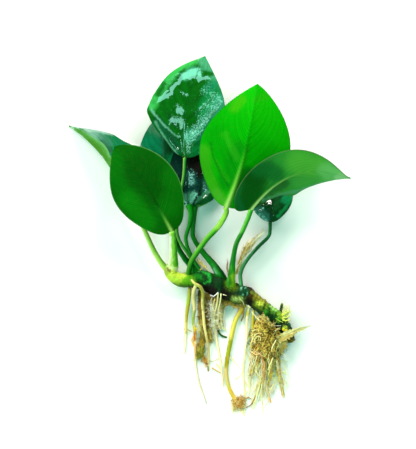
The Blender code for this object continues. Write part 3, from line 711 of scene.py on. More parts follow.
def leafBody(name, leaf):
    steps = np.linspace(0, math.pi, leafGrid["rows"] + 2)[1:-1]
    u, v = np.meshgrid((1 - np.cos(steps)) / 2, np.linspace(-1, 1, leafGrid["columns"]), indexing="ij")
    middle, face, width, across = leafSurface(leaf, u, v)
    spots = fromAbove(middle)
    for height, reach, route in leaf["creases"]:
        middle = middle + (height * brush(spots, route, reach, 2))[..., None] * face
    # the midrib stands out below and is sunk above, and fades towards the tip
    wide, narrow = leaf["ribWidth"]
    ribLine = np.exp(-((width / (narrow + (wide - narrow) * (1 - u) ** 2)) ** 2))
    rib = ribLine * (1 - u) ** leaf["ribFade"]
    # veins leave it at a slant, and one in four stands out
    slant = u - leaf["sweep"] * np.abs(v) ** leafGrid["veinBend"]
    veinTurn = 2 * math.pi * leaf["veins"] * slant
    lateral = np.cos(veinTurn / 4) ** 8 * (1 - v**4) * (1 - rib)
    half = (leafGrid["thickness"] + (leafGrid["margin"] - leafGrid["thickness"]) * v**2) / 2
    above = half - 0.5 * leaf["ribHeight"] * rib - leafGrid["veinDip"] * lateral
    below = half + leaf["ribHeight"] * rib + leafGrid["veinRise"] * lateral
    upperFace = middle + above[..., None] * face
    underFace = middle - below[..., None] * face

    # bands: a slow unevenness of brightness across the run of the veins, from three sine waves
    run = leaf["bandCount"] * slant + 3 * (v > 0)
    band = np.sin(2 * math.pi * run) + 0.7 * np.sin(3.7 * math.pi * run + 1) + 0.5 * np.sin(9.1 * run + 2)
    band = 1 + leaf["bands"] * band * (1 - rib) * (1 - v**4)
    ribPlaces, ribCodes, ribAmounts = zip(*leaf["ribPaint"])
    ribTones = np.stack([linearColour(code) for code in ribCodes])
    ribColour = np.stack([np.interp(u, ribPlaces, tone) for tone in ribTones.T], axis=-1)
    ribWeight = (np.interp(u, ribPlaces, ribAmounts) * ribLine)[..., None]
    halfWidth = np.where(v > 0, leaf["halves"][1], leaf["halves"][0]) * across
    toRim = halfWidth / np.maximum(np.abs(v), 0.01) - halfWidth

    def faceColours(base, strokes):
        colours = painted(np.broadcast_to(linearColour(base), middle.shape), spots, strokes)
        colours = colours * band[..., None]
        for side, first, last, code, amount, reach in leaf["rims"]:
            ends = np.clip(np.stack([u - first, last - u]) / leafGrid["rimFade"], 0, 1).prod(axis=0)
            weight = (amount * np.exp(-((toRim / reach) ** 2)) * ends * (v * side > 0))[..., None]
            colours = colours + weight * (linearColour(code) - colours)
        return colours + ribWeight * (ribColour - colours)

    def bothFaces(upper, under):
        return np.concatenate([upper, under[:, ::-1]], axis=1)

    shown = faceColours(leaf["base"], leaf["strokes"])
    hidden = faceColours(leaf["back"], leaf["backStrokes"])
    upperPaint, underPaint = (shown, hidden) if leaf["seen"] == "upper" else (hidden, shown)
    wet = np.full(u.shape, leaf["wet"])
    for amount, reach, route in leaf["wetStrokes"]:
        wet = wet + (amount - wet) * brush(spots, route, reach)
    marks = {"wet": wet, "veinTurn": veinTurn, "veinShow": leaf["veinShow"] * (1 - 0.6 * u) * (1 - rib)}
    makeBody(
        f"blade_{name}", bothFaces(upperFace, underFace), midribAt(leaf, np.array([0.0, 1.0]))[0],
        ("wetUpperCuticle", "mattUnderside"), bothFaces(upperPaint, underPaint),
        {key: bothFaces(values, values) for key, values in marks.items()},
        (f"leaf_{name}",), np.repeat([0, 1], leafGrid["columns"]), leaf["share"],
    )


# groove is its depth as a share of the radius, and its width in radians; rooting is how far the
# foot goes into the rhizome; swelling is at the blade, with its reach as a share of the stalk
stemGrid = dict(
    rows=90, sides=20, groove=0.12, grooveWidth=0.35, joint=0.2, rooting=3.0, swelling=0.10,
    swellingReach=0.06, unevenness=0.05,
)


def stemBody(name, leaf):
    # a petiole: a round stalk along its route, a little grooved, swollen where it meets the blade
    base, ahead = midribAt(leaf, np.array([0.0, 0.01]))[0]
    top = base - stemGrid["joint"] * unit(ahead - base)
    path = smoothValues(np.append(top, leaf["stem"]), stemGrid["rows"])
    foot = unit(path[-1:] - path[-4:-3])
    path = np.concatenate([path, path[-1:] + stemGrid["rooting"] * np.linspace(0.2, 1, 5)[:, None] * foot])
    share = np.linspace(0, 1, len(path))
    swollen = 1 + stemGrid["swelling"] * np.exp(-((share / stemGrid["swellingReach"]) ** 2))
    radii = spread(leaf["stemRadii"][::-1], len(path)) * swollen
    rings, ends, out, angles = tubeRings(path, radii, stemGrid["sides"])
    groove = np.exp(-(((angles - math.pi / 2) / stemGrid["grooveWidth"]) ** 2))
    rings = rings - out * (stemGrid["groove"] * groove * radii[:, None])[..., None]
    rings = rings + out * stemGrid["unevenness"] * ripples(rings, 3.0, 4.0)[..., None]
    # colour: left, middle and right of the stalk as seen from above, from the blade to the foot; the paler
    # left and darker right are partly the stalk's own colour and partly painted light and painted shade
    across = np.clip(out[..., 0] * 1.25, -1, 1)
    tones = [np.stack([linearColour(code) for code in leaf[end]]) for end in ("top", "foot")]
    shades = tones[0] + (tones[1] - tones[0]) * share[:, None, None]
    weights = np.clip(1 - np.abs(across[..., None] - [-1.0, 0.0, 1.0]), 0, 1)
    colours = np.einsum("rsk,rkc->rsc", weights, shades)
    colours = painted(colours, fromAbove(rings), leaf["stemStrokes"])
    makeBody(f"petiole_{name}", rings, ends, ("smoothPetiole",), colours, tubeMarks(path, angles),
             (f"stem_{name}",))


for leafName, leafValues in leaves.items():
    leafBody(leafName, leafDefaults | leafValues)
    stemBody(leafName, leafDefaults | leafValues)
print("leaves made:", len(leaves))


# line is the middle line from the growing tip to the old end, with the radius at each place.
# knobs have a place, spread and height. The first youngLength mm are smooth. Scar rings stand
# ringGap apart, rough and lumps are the heights of two sizes of lump, and wobble is how far a
# nodule's outline strays.
rhizome = dict(
    line=(
        ((-18, -14.5, 11.5), 2.2), ((-19.5, -18.5, 9), 3.2), ((-15, -22.5, 7), 3.5), ((-9, -22.5, 6.5), 4.0),
        ((-2.5, -23.3, 6.5), 4.5), ((5, -26.5, 6.5), 4.8), ((12.5, -29, 6), 4.5), ((19.5, -31.5, 6), 3.6),
        ((25, -35.8, 6), 3.3), ((30.3, -40, 6), 3.3), ((35.2, -44.8, 5.5), 3.1), ((38.5, -48.5, 5), 2.4),
        ((40, -53, 4), 2.0),
    ),
    knobs=(
        ((-4, -20, 9), 3.0, 1.2), ((3, -23, 10), 3.0, 1.0), ((16, -28, 9), 3.0, 1.0),
        ((20, -27, 6), 1.5, 1.0), ((13, -33, 5), 2.5, 1.2), ((26, -34, 9), 2.5, 1.0),
        ((32, -39, 9), 2.5, 1.2), ((37, -41, 7), 2.0, 1.2), ((-2.1, -21.1, 10), 1.8, 0.8),
        ((-5.6, -16.7, 10), 1.2, 0.6), ((5.3, -24.1, 10), 1.6, 0.7), ((14.6, -28, 10), 1.6, 0.8),
        ((18.1, -28.5, 9), 1.3, 0.7), ((29.9, -39.4, 9), 1.2, -1.0), ((26, -34.4, 9), 1.6, 0.7),
        ((37.9, -45.4, 8), 1.4, 0.8), ((20.6, -28.5, 9), 1.3, 0.8),
    ),
    rows=420, sides=110, youngLength=12, ringGap=3.4, ringHeight=0.22, rough=0.34, lumps=0.32,
    wobble=0.35, noduleDepth=3, noduleShade=0.35, tone=0.9, lumpLightAndShade=0.9, base="#123a10",
    # 6cc08a is a painted glint on the dark knob, and the near-black #1c1408 and #15100a are painted shade
    # under the rhizome
    strokes=(
        ("#b0e420", 1.0, 5.2, (-19.1, -18, -18.1, -23)), ("#80d008", 1.0, 5.0, (-15.1, -23, -12.1, -23)),
        ("#cfe88a", 0.9, 1.8, (-19.1, -19.5, -15.1, -21)), ("#a3a428", 0.9, 1.5, (-22.6, -17, -19.6, -18.5)),
        ("#3f9208", 0.9, 2.4, (-13.1, -25, -10.1, -23)), ("#4a4d10", 0.9, 1.6, (-10.1, -26, -8.1, -25)),
        ("#0a5a1c", 1.0, 4.0, (-7.1, -18, -2.1, -20)), ("#4f9f50", 0.8, 1.0, (-7.6, -16, -5.1, -19)),
        ("#0f7a24", 0.9, 2.2, (-3.1, -21, -1.1, -23)), ("#063514", 0.9, 4.0, (1.9, -22, 5.9, -25)),
        ("#2f8a40", 0.8, 1.3, (2.9, -19, 4.9, -21)),
        ("#1c1408", 1.0, 2.4, (-2.1, -28, 2.9, -29.5, 10.9, -29)),
        ("#15100a", 1.0, 2.2, (-1.1, -31, 5.9, -32)), ("#4f8a0c", 1.0, 3.4, (10.4, -24, 11.9, -26)),
        ("#0f4a24", 1.0, 3.6, (13.9, -28, 17.9, -29)),
        ("#6cc08a", 0.8, 1.1, (15.4, -25, 17.4, -27, 17.9, -29)),
        ("#9cbc4a", 1.0, 2.0, (11.9, -32.5, 16.4, -33)), ("#3c2c16", 1.0, 2.6, (20.4, -27, 22.4, -30)),
        ("#7c7a1c", 1.0, 2.6, (21.9, -31, 25.9, -33)),
        ("#1c1608", 0.9, 2.0, (18.9, -33, 22.9, -37, 26.9, -39)),
        ("#a6cc34", 1.0, 2.4, (23.9, -35, 28.9, -36.5)), ("#4fa428", 0.9, 3.0, (28.9, -38, 33.9, -40)),
        ("#0f4a16", 1.0, 1.7, (29.9, -41, 30.9, -42)), ("#86c43c", 0.8, 1.4, (28.9, -37.5, 32.9, -38.5)),
        ("#a8d42c", 0.9, 2.0, (34.9, -41, 37.9, -41)), ("#123c24", 1.0, 3.0, (36.9, -45, 39.9, -48)),
        ("#2f7f44", 0.8, 1.3, (38.9, -43, 40.9, -47)), ("#c4d83c", 0.9, 1.1, (36.9, -46.5, 37.9, -47.5)),
        ("#7a6a2c", 1.0, 2.6, (39.9, -53, 41.9, -54.5)),
    ),
)
# nodules, leaf scars and buds that push the skin out: (place, half sizes in plan, heading in
# degrees, height, colour)
nodules = (
    ((-16.8, -19.5, 12.2), (4.4, 2.6), -20, 0.9, "#d0ff64"),
    ((-11.9, -22, 10.8), (4.4, 2.8), -15, 0.7, "#88dc08"),
    ((-20.3, -17.6, 12.2), (1.1, 0.8), 20, 0.5, "#a88c34"),
    ((-18.8, -15.6, 12.6), (3.6, 2.6), -60, 0.6, "#d4ff84"),
    ((-7, -15.7, 10.6), (3.2, 0.9), -50, 0.7, "#38ac3c"),
    ((-4.6, -16.6, 10.9), (3.2, 0.8), -52, 0.9, "#60c460"),
    ((-2.1, -17.1, 10.6), (2.8, 0.8), -58, 0.7, "#2f9c3c"),
    ((-5.6, -21.1, 10.4), (3.4, 1.6), -30, 0.7, "#14ac20"),
    ((-0.6, -21.1, 10.8), (1.4, 2.9), 0, 1.1, "#14a020"), ((-8, -23.1, 8.8), (2.0, 1.4), 20, 0.6, "#2f900c"),
    ((3.8, -18.1, 10.9), (3.2, 2.8), 35, 1.2, "#10b418"),
    # the first nodule on the next line, #a4e4a0, is a painted highlight on the sheath foot
    ((2.1, -19.1, 11.9), (1.3, 0.7), 60, 0.4, "#a4e4a0"), ((3.8, -24, 10.8), (2.6, 2.6), 0, 0.9, "#065418"),
    ((4.3, -27.5, 9.4), (1.2, 2.2), 0, 0.8, "#0c5c20"),
    ((10.2, -23.5, 11.2), (3.0, 3.8), -5, 1.4, "#7cb808"), ((12.2, -27, 9.8), (2.4, 1.5), 0, 0.8, "#6c8c08"),
    ((14.1, -23, 10.6), (0.9, 3.0), 20, 0.8, "#a8cc50"),
    ((16.6, -28, 10.6), (3.2, 2.6), -10, 1.2, "#0c6030"),
    # the next four small pale nodules are painted glints on the dark knob
    ((15.1, -26.9, 11.8), (0.6, 0.9), 0, 0.3, "#94e4b8"),
    ((17.5, -26.7, 11.8), (0.9, 0.5), 30, 0.3, "#84d8a8"),
    ((18.3, -29.4, 11.2), (0.6, 0.8), 0, 0.3, "#70c898"),
    ((16.1, -29.9, 11.2), (0.7, 0.5), 0, 0.3, "#70c898"),
    ((13.7, -31.9, 9.6), (3.0, 1.4), 5, 1.1, "#bce474"), ((21, -26.5, 9.4), (2.2, 1.5), -20, 0.8, "#604428"),
    ((19.6, -30.5, 9.4), (1.3, 1.6), 0, 0.6, "#4c3414"),
    ((22.5, -31.5, 9.6), (1.8, 1.6), -40, 0.8, "#8c8814"),
    ((24.5, -29.5, 8.8), (2.6, 1.0), -45, 0.6, "#b08c18"),
    ((25.5, -33.9, 9.6), (2.2, 1.4), -30, 1.0, "#c8d840"),
    ((27.9, -35.4, 9.4), (2.0, 1.1), -40, 0.9, "#98b830"),
    ((28, -32.5, 8.8), (2.6, 0.9), -45, 0.5, "#8c9c30"),
    ((30.9, -36.9, 9.4), (3.2, 1.0), -35, 1.0, "#8cdc38"),
    ((27.5, -38.9, 8.6), (1.0, 2.2), -20, 0.8, "#2f9c20"),
    ((33.4, -38.9, 9.2), (1.6, 1.6), -45, 0.8, "#a8e038"),
    ((33.9, -41.9, 8.4), (1.0, 2.0), -10, 0.8, "#5cb428"), ((35.9, -40.4, 9), (2.0, 1.6), 0, 1.0, "#d0e43c"),
    ((38.9, -43.4, 7.8), (2.8, 1.2), -60, 0.9, "#1c8048"),
    ((36.9, -45.9, 7.8), (1.6, 1.6), 0, 0.5, "#0c4420"), ((36.9, -46.4, 8), (1.3, 1.1), 0, 0.9, "#dcf048"),
    ((40, -53, 6), (2.4, 1.6), -30, 0.8, "#84701c"), ((41, -54.8, 5.2), (2.0, 0.8), 30, 0.5, "#c8a428"),
)
# tones laid over the nodules; the pale #fcffe4 is a painted highlight on the crown
crownTones = (
    ("#d8ff88", 0.9, 1.8, (-20.6, -17, -16.6, -18)),
    ("#2cb840", 0.8, 0.7, (-4.1, -18.5, -0.6, -20, -0.1, -23, -2.6, -24.5)),
    ("#6cd078", 0.8, 0.5, (-7.6, -15.5, -5.6, -18.5)), ("#063c10", 0.9, 0.9, (-3.1, -21.5, -2.1, -22.5)),
    ("#d8ff48", 0.9, 3.2, (-19.6, -21.5, -14.6, -21.5)), ("#5cb00a", 0.85, 2.2, (-12.6, -23.5, -9.6, -23)),
    ("#e4ffa8", 0.9, 1.2, (-20.6, -16, -19.1, -18)), ("#f0ff50", 0.95, 2.0, (-18.6, -19.5, -14.6, -20)),
    ("#fcffe4", 0.9, 0.6, (-17.1, -18, -14.6, -19)), ("#86702c", 0.9, 0.8, (-21.1, -17.5, -20.1, -18.5)),
    ("#a8c83c", 0.7, 1.2, (-23.1, -16.5, -22.1, -20)),
    ("#3f7a08", 0.8, 0.8, (-20.1, -25, -15.1, -26.5, -11.1, -26)),
    ("#c0d858", 0.8, 0.9, (-12.1, -20, -11.1, -17)), ("#8c9a2c", 0.8, 1.0, (20.9, -29, 24.4, -31.5)),
    ("#d4e048", 0.9, 0.9, (23.9, -34.5, 26.4, -35.5)), ("#3c4c10", 0.8, 0.6, (27.9, -34.5, 26.4, -37.5)),
    ("#a89c2c", 0.8, 0.8, (22.9, -30.5, 25.9, -32.5, 28.4, -34.5)),
    ("#1c4410", 0.8, 0.6, (30.4, -37, 28.9, -40)), ("#a8e070", 0.8, 0.8, (31.4, -37.5, 33.9, -38.5)),
    ("#145020", 0.8, 0.7, (32.9, -39.5, 31.9, -42.5)), ("#c8ec84", 0.8, 0.5, (29.9, -36, 32.4, -37)),
    ("#0c3c10", 0.8, 1.2, (22.9, -38, 25.9, -40.5)), ("#b4c830", 0.8, 0.9, (10.9, -25, 12.4, -23)),
)


def rhizomeBody():
    # round sections along the middle line, pushed out by each knob, by faint scar rings and by
    # small lumps
    path = smoothValues([place for place, _ in rhizome["line"]], rhizome["rows"])
    radii = smoothValues([[radius] for _, radius in rhizome["line"]], rhizome["rows"])[:, 0]
    rings, ends, out, angles = tubeRings(path, radii, rhizome["sides"])
    for centre, reach, height in rhizome["knobs"]:
        distance = np.linalg.norm(rings - np.array(centre), axis=-1, keepdims=True)
        rings = rings + out * height * np.exp(-((distance / reach) ** 2))
    marks = tubeMarks(path, angles)
    turn = 2 * math.pi * marks["along"] / rhizome["ringGap"] + 0.8 * ripples(rings, 6.0, 1.0)
    old = np.clip(marks["along"] / rhizome["youngLength"] - 1, 0, 1)
    push = old * rhizome["ringHeight"] * np.maximum(np.cos(turn), 0) ** 6
    push = push + (0.25 + 0.75 * old) * rhizome["rough"] * ripples(rings, 2.6, 2.0)
    lumps = old * ripples(rings, 1.7, 7.0)
    push = push + rhizome["lumps"] * lumps
    rings = rings + out * push[..., None]
    colours = paintedOn(rings, rhizome["base"], rhizome["strokes"])
    shapes = []
    for place, halves, heading, height, code in nodules:
        # how far each point lies from the nodule, in its half sizes in plan and noduleDepth in height
        way = rings + rhizome["wobble"] * ripples(rings, 2.4, 3.0)[..., None] - place
        angle = math.radians(heading)
        lengthwise = (way[..., 0] * math.cos(angle) + way[..., 1] * math.sin(angle)) / halves[0]
        crosswise = (way[..., 1] * math.cos(angle) - way[..., 0] * math.sin(angle)) / halves[1]
        distance = lengthwise**2 + crosswise**2 + (way[..., 2] / rhizome["noduleDepth"]) ** 2
        shapes.append((height * np.exp(-distance * 1.2), np.exp(-(distance**2)), code))
    for push, weight, code in shapes:
        # painted shade in the crevice round each nodule, then its own tone
        rings = rings + out * push[..., None]
        noduleShade = np.exp(-((weight - 0.3) ** 2) / 0.03)
        colours = colours * (1 - rhizome["noduleShade"] * noduleShade[..., None])
        colours = colours + rhizome["tone"] * weight[..., None] * (linearColour(code) - colours)
    colours = painted(colours, fromAbove(rings), crownTones)
    # painted shade darkens the hollows between the lumps, and painted light brightens their tops
    colours = colours * (1 + rhizome["lumpLightAndShade"] * np.clip(lumps, -0.7, 0.5))[..., None]
    makeBody("knobbly_rhizome", rings, ends, ("knobblyRhizome",), colours, marks,
             ("rhizome",))


rhizomeBody()
print("rhizome made")


# single roots: route in mm, radii spread along it, base colour, strokes as on the leaves, finish
# and the number of hairs
roots = {
    "root_left": dict(
        route=(
            -10.2, -26.9, 5.4, -10.7, -33, 3, -11.5, -38, 2, -12, -43, 1.5, -12.2, -50.5, 1.2, -12.8, -59.5,
            0.7,
        ),
        radii=(0.9, 1.0, 0.9, 0.75, 0.65, 0.5), base="#b8bc48", slot="root_yellow",
        strokes=(
            ("#a8c832", 1.0, 1.3, (-11.1, -31, -11.6, -35)), ("#b0a418", 0.9, 0.7, (-10.6, -36, -11.6, -44)),
            ("#d8d878", 0.8, 0.6, (-13.1, -33, -13.1, -44)), ("#e0d878", 0.9, 1.2, (-12.1, -45, -12.1, -48)),
            ("#fffbd4", 1.0, 2.0, (-12.1, -52, -12.1, -61)),
        ),
    ),
    "root_long_left": dict(
        route=(
            -7, -25, 11.3, -8.2, -28.5, 9, -8.2, -32.5, 5.5, -7.9, -37.5, 3.5, -8.5, -43.5, 2.2, -7.6, -49,
            1.6, -7.4, -55, 1.3, -7.4, -61, 1, -6, -71.5, 0.7, -2, -84.5, 0.5,
        ),
        radii=(0.9, 1.0, 0.95, 0.75, 0.75, 0.9, 0.6, 0.35, 0.3), base="#e9e79a", slot="root_cream",
        strokes=(
            ("#7fae3a", 0.9, 1.0, (-7.6, -39, -9.1, -45)), ("#d2c83a", 1.0, 1.4, (-7.6, -47, -7.1, -48)),
            ("#b5701c", 1.0, 1.2, (-8.1, -49.5, -8.1, -52.5)),
            ("#e2bf81", 1.0, 1.0, (-7.6, -55.5, -7.6, -62)), ("#ddd8bc", 1.0, 1.6, (-7.1, -66, -2.1, -85)),
        ),
    ),
    "root_brown": dict(
        route=(
            -4.6, -28.2, 4.8, -4.5, -38, 3, -4.2, -45.5, 2.5, -4, -52, 2.3, -4.8, -58, 2, -5.4, -61.5, 1.4,
        ),
        radii=(1.5, 1.4, 1.3, 0.8, 1.0, 1.7, 1.4, 0.7), base="#a09040", slot="root_brown",
        finish="feltedRoot", hairs=760,
        strokes=(
            ("#3a2c10", 1.0, 2.2, (-6.6, -30, -6.1, -33)), ("#8a7434", 0.9, 1.6, (-6.1, -36, -5.6, -41)),
            ("#e0d486", 0.8, 1.2, (-3.6, -44, -2.6, -49)), ("#6c641c", 0.9, 1.3, (-5.6, -50, -3.6, -55)),
            ("#b49428", 0.8, 0.9, (-3.6, -54, -4.1, -56)), ("#8c9434", 0.9, 1.6, (-4.6, -57.5, -5.1, -60.5)),
        ),
    ),
    "root_arched": dict(
        route=(
            -9.2, -22.4, 11.6, -7.8, -24, 13.2, -5, -25.8, 12.6, -3.6, -29, 10, -3.8, -33.5, 7.4, -3.5,
            -38.5, 6.2, -3, -45, 5.8, -2, -50.5, 5, -1, -56, 2.8, -1, -62, 1.2, -1, -68.5, 0.7,
        ),
        radii=(0.5, 0.65, 0.8, 0.85, 0.8, 0.7, 0.7, 0.65, 0.6, 0.55, 0.45), base="#e6e28e",
        slot="root_cream",
        strokes=(
            ("#c8d468", 1.0, 1.2, (-9.1, -25, -6.6, -26)), ("#a3ae2e", 0.9, 1.4, (-5.1, -27, -3.6, -31)),
            ("#aab04a", 0.7, 0.6, (-3.6, -32, -3.6, -38)), ("#d9cf73", 0.8, 1.2, (-2.1, -52, -1.1, -61)),
            ("#8f8a4a", 0.9, 1.0, (-1.1, -67, -1.1, -70)),
        ),
    ),
    "root_brown_thin": dict(
        route=(-0.6, -29.8, 4.5, -0.2, -39, 2, -0.2, -46, 1.6, -0.2, -54, 1), radii=(0.9, 1.0, 0.9, 0.7),
        base="#b89c4f", slot="root_brown", finish="feltedRoot", hairs=420,
        strokes=(
            ("#3a2a12", 0.9, 1.2, (-1.1, -34, -0.6, -38)), ("#d8b859", 0.8, 1.3, (-0.6, -46, -0.6, -53)),
        ),
    ),
    "root_cream_middle": dict(
        route=(
            3.1, -31.1, 4.6, 2.5, -38, 2.8, 2, -44, 2, 3, -52, 1.6, 5, -62, 1.2, 6, -71, 1, 6.6, -76, 0.6,
        ),
        radii=(0.6, 0.75, 0.75, 0.65, 0.55, 0.5, 0.4), base="#f4f0bc", slot="root_cream",
        strokes=(("#c8b05b", 0.7, 0.9, (2.9, -35, 1.9, -42)), ("#e9cf7f", 0.7, 1.0, (6.9, -69, 7.9, -75))),
    ),
    "root_tan": dict(
        route=(6.9, -32.3, 4.2, 5.5, -38, 2.5, 4.6, -43, 1.8, 4.4, -47, 1), radii=(0.5, 0.6, 0.7, 0.6),
        base="#dcc474", slot="root_brown", finish="feltedRoot", hairs=260,
        strokes=(("#a89030", 0.9, 1.0, (3.4, -43, 3.4, -46.5)), ("#f0e093", 0.7, 0.8, (5.4, -36, 4.4, -40))),
    ),
    "root_white": dict(
        route=(8.9, -32.9, 4.3, 6.9, -40, 1.6, 7.3, -46, 0.8, 8.5, -49, 0.4), radii=(0.4, 0.42, 0.38, 0.3),
        base="#fbfcf4", slot="root_cream", strokes=(),
    ),
    "root_green": dict(
        route=(3.6, -48.2, 0.6, 5.5, -50.6, 0.6, 8.2, -51.7, 0.5), radii=(0.5, 0.52, 0.45), base="#2a5614",
        slot="stem_green", finish="smoothPetiole", strokes=(),
    ),
    "root_yellow": dict(
        route=(
            17, -35.1, 4.2, 14.8, -39, 3, 12.4, -43.5, 2.2, 10.7, -50.5, 1.6, 8.8, -60.5, 1.4, 8.0, -68.5,
            1.2, 9, -75.5, 1.1, 11.6, -81.4, 1, 13.0, -83.6, 1,
        ),
        radii=(1.1, 1.15, 1.15, 1.1, 1.0, 0.95, 0.95, 0.9), base="#d0cc58", slot="root_yellow",
        strokes=(
            ("#c4b42c", 0.8, 1.3, (16.9, -36, 14.9, -39)), ("#f0f05b", 0.7, 0.7, (12.9, -42, 9.9, -51)),
            ("#94a80c", 0.9, 1.3, (10.4, -54, 8.9, -60)), ("#a09c06", 1.0, 1.3, (7.9, -62, 7.4, -66)),
            ("#d8c878", 0.9, 1.3, (7.9, -68, 8.9, -74)), ("#e2c03a", 0.8, 1.3, (10.4, -78, 11.9, -82)),
        ),
    ),
    "root_cream_right": dict(
        route=(
            19.4, -35.9, 4.2, 18.3, -43, 2.2, 18.2, -50.5, 1.5, 17.3, -59, 1.2, 16.5, -68, 1, 17.2, -79, 0.8,
            17.5, -89, 0.4,
        ),
        radii=(0.85, 0.8, 0.65, 0.55, 0.5, 0.42, 0.3), base="#f6f3c4", slot="root_cream",
        strokes=(
            ("#d6d834", 1.0, 1.3, (17.9, -35, 17.9, -40)), ("#ecdf84", 0.7, 0.7, (16.4, -43, 16.9, -51)),
            ("#f0e2a5", 0.8, 1.0, (15.9, -63, 17.4, -83)),
        ),
    ),
    "root_short": dict(
        route=(21.5, -37.7, 3.9, 21.2, -43, 2.2, 21.2, -47.5, 1), radii=(0.7, 0.75, 0.6), base="#cfc83f",
        slot="root_yellow", strokes=(("#f0f0a5", 0.8, 0.7, (20.4, -37.5, 21.4, -40)),),
    ),
    "old_stub": dict(
        route=(34.0, -42.5, 6.6, 34.8, -38.6, 7, 35.2, -36.4, 7, 35.4, -34.4, 7.2),
        radii=(1.1, 0.9, 0.75, 0.65), base="#2c4a16", slot="rhizome_brown", finish="knobblyRhizome",
        strokes=(("#6f9a3c", 0.8, 0.7, (35.4, -35, 35.9, -34.5)),),
    ),
}
rootGrid = dict(rows=110, sides=14, unevenness=0.07)


def rootBody(name, root):
    path = smoothValues(root["route"], rootGrid["rows"])
    radii = spread(root["radii"], rootGrid["rows"])
    rings, ends, out, angles = tubeRings(path, radii, rootGrid["sides"])
    rings = rings + out * (rootGrid["unevenness"] * radii[:, None] * ripples(rings, 3.2, 6.0))[..., None]
    colours = paintedOn(rings, root["base"], root["strokes"])
    makeBody(f"{name}_skin", rings, ends, (root.get("finish", "waxyRoot"),), colours,
             tubeMarks(path, angles), (name,), share=rootShare)
    return path, radii, colours


rootPaths = {name: rootBody(name, root) for name, root in roots.items()}
print("roots made:", len(rootPaths))


surfaceGap = 0.15  # mm, the lowest that a strand's middle line lies


def strandBody(name, routes, radii, shades, finish, rows=22, sides=4, replaced=(), strokes=None,
               ground="#ffffff"):
    # fine fibres, many strands in one body: routes (strands, places, 3) become smooth tubes, with
    # radii and shades per strand at (start, end). Strokes tint them, on a colour of ground.
    paths = smoothValues(routes, rows)
    paths[..., 2] = np.maximum(paths[..., 2], surfaceGap)
    share = np.linspace(0, 1, rows)
    thickness = radii[:, :1] + (radii[:, 1:] - radii[:, :1]) * share
    straight = unit(routes[:, -1] - routes[:, 0] + 1e-6)
    reference = unit(np.cross(straight, [0.31, 0.17, 0.93]))[:, None]
    rings, ends, out, angles = tubeRings(paths, thickness, sides, reference)
    colours = shades[:, :1] + (shades[:, 1:] - shades[:, :1]) * share[:, None]
    colours = np.broadcast_to(colours[:, :, None], rings.shape)
    if strokes is not None:
        colours = colours * paintedOn(paths, ground, strokes)[:, :, None]
    return makeBody(name, rings, ends, (finish,), colours, tubeMarks(paths, angles), replaced,
                    share=fibreShare)


def pickColours(codes, count, low=0.8, high=1.15):
    table = np.stack([linearColour(code) for code in codes])
    return table[luck.integers(len(codes), size=count)] * luck.uniform(low, high, (count, 1))


def tapered(thick, count):
    # radii at each strand's start and end, drawn between two values
    return luck.uniform(*thick, (count, 1)) * [1.0, 0.6]


def brightening(shades, gain):
    # shades at each strand's start and end
    return np.stack([shades, shades * gain], axis=1)


def drawn(limits, count):
    # one number for each strand, between two limits
    return luck.uniform(*limits, (count, 1))


# lengths and radii in mm; bend is how far a hair strays, and light how its shade varies
felt = dict(
    length=(0.6, 1.9), bend=0.42, light=(0.25, 1.9), radii=(0.07, 0.17),
    looseStep=(0.5, 1.1), looseBend=0.5, looseLight=(0.4, 1.35),
)
# patches of loose short hairs between the roots: reach in mm, colour, number and route
looseFelt = (
    (0.8, "#fff8dc", 90, (-0.1, -33.6, 6.5, -0.1, -39.7, 4.6, 0.9, -45.7, 3.4, 1.4, -50.8, 2.4)),
    (0.5, "#7c6428", 110, (-2.1, -35.7, 5.5, -2.1, -42.7, 4, -2.6, -49.7, 3)),
    (0.8, "#8a7434", 150, (-2.6, -30.6, 7, 0.9, -31.6, 7, 5.8, -32.6, 6.4, 9.8, -32.7, 6)),
    (0.8, "#fff4c8", 80, (2.8, -35.6, 6, 4.3, -40.7, 4, 3.9, -46.8, 2.6)),
    (0.5, "#d0a458", 90, (-5.1, -58.8, 1.6, -3.6, -61.9, 1.2, -1.6, -64.9, 0.9)),
    (0.5, "#c8b048", 120, (7.8, -32.7, 6, 10.8, -34.7, 5, 14.8, -35.7, 5)),
)


def rootFelt():
    # a felt of fine hairs round each old root: they stand off it, bend down its length and curl
    routes, shades = [], []
    for name, root in roots.items():
        count = root.get("hairs", 0)
        if not count:
            continue
        path, radii, paint = rootPaths[name]
        rows = luck.integers(2, len(path) - 2, count)
        down = unit(np.gradient(path, axis=0))[rows]
        out = unit(luck.normal(size=(count, 3)) * [1, 0.4, 0.9])
        start = path[rows] + out * radii[rows, None] * 0.9
        length = drawn(felt["length"], count)
        bend = luck.normal(scale=felt["bend"], size=(2, count, 3))
        middle = start + length * (0.30 * out + 0.30 * down) + bend[0] * length
        end = start + length * (0.10 * out + 0.75 * down) + bend[1] * length
        routes.append(np.stack([start, middle, end], axis=1))
        shades.append(brightening(paint[rows].mean(axis=1) * drawn(felt["light"], count), 1.25))
    for reach, code, count, route in looseFelt:
        path = smoothValues(route, 40)
        start = path[luck.integers(0, 40, count)] + luck.normal(scale=reach, size=(count, 3)) * [1, 1, 0.5]
        turn = drawn((0, 2 * math.pi), count)
        step = drawn(felt["looseStep"], count)
        way = np.concatenate([step * np.cos(turn), step * np.sin(turn), 0.2 * step], axis=1)
        bend = luck.normal(scale=felt["looseBend"], size=(count, 3))
        routes.append(np.stack([start, start + way + bend, start + way * 1.6 - bend], axis=1))
        shades.append(brightening(linearColour(code) * drawn(felt["looseLight"], count), 1.1))
    routes = np.concatenate(routes)
    strandBody("root_felt", routes, tapered(felt["radii"], len(routes)), np.concatenate(shades),
               "dryFibre", 8, 4)


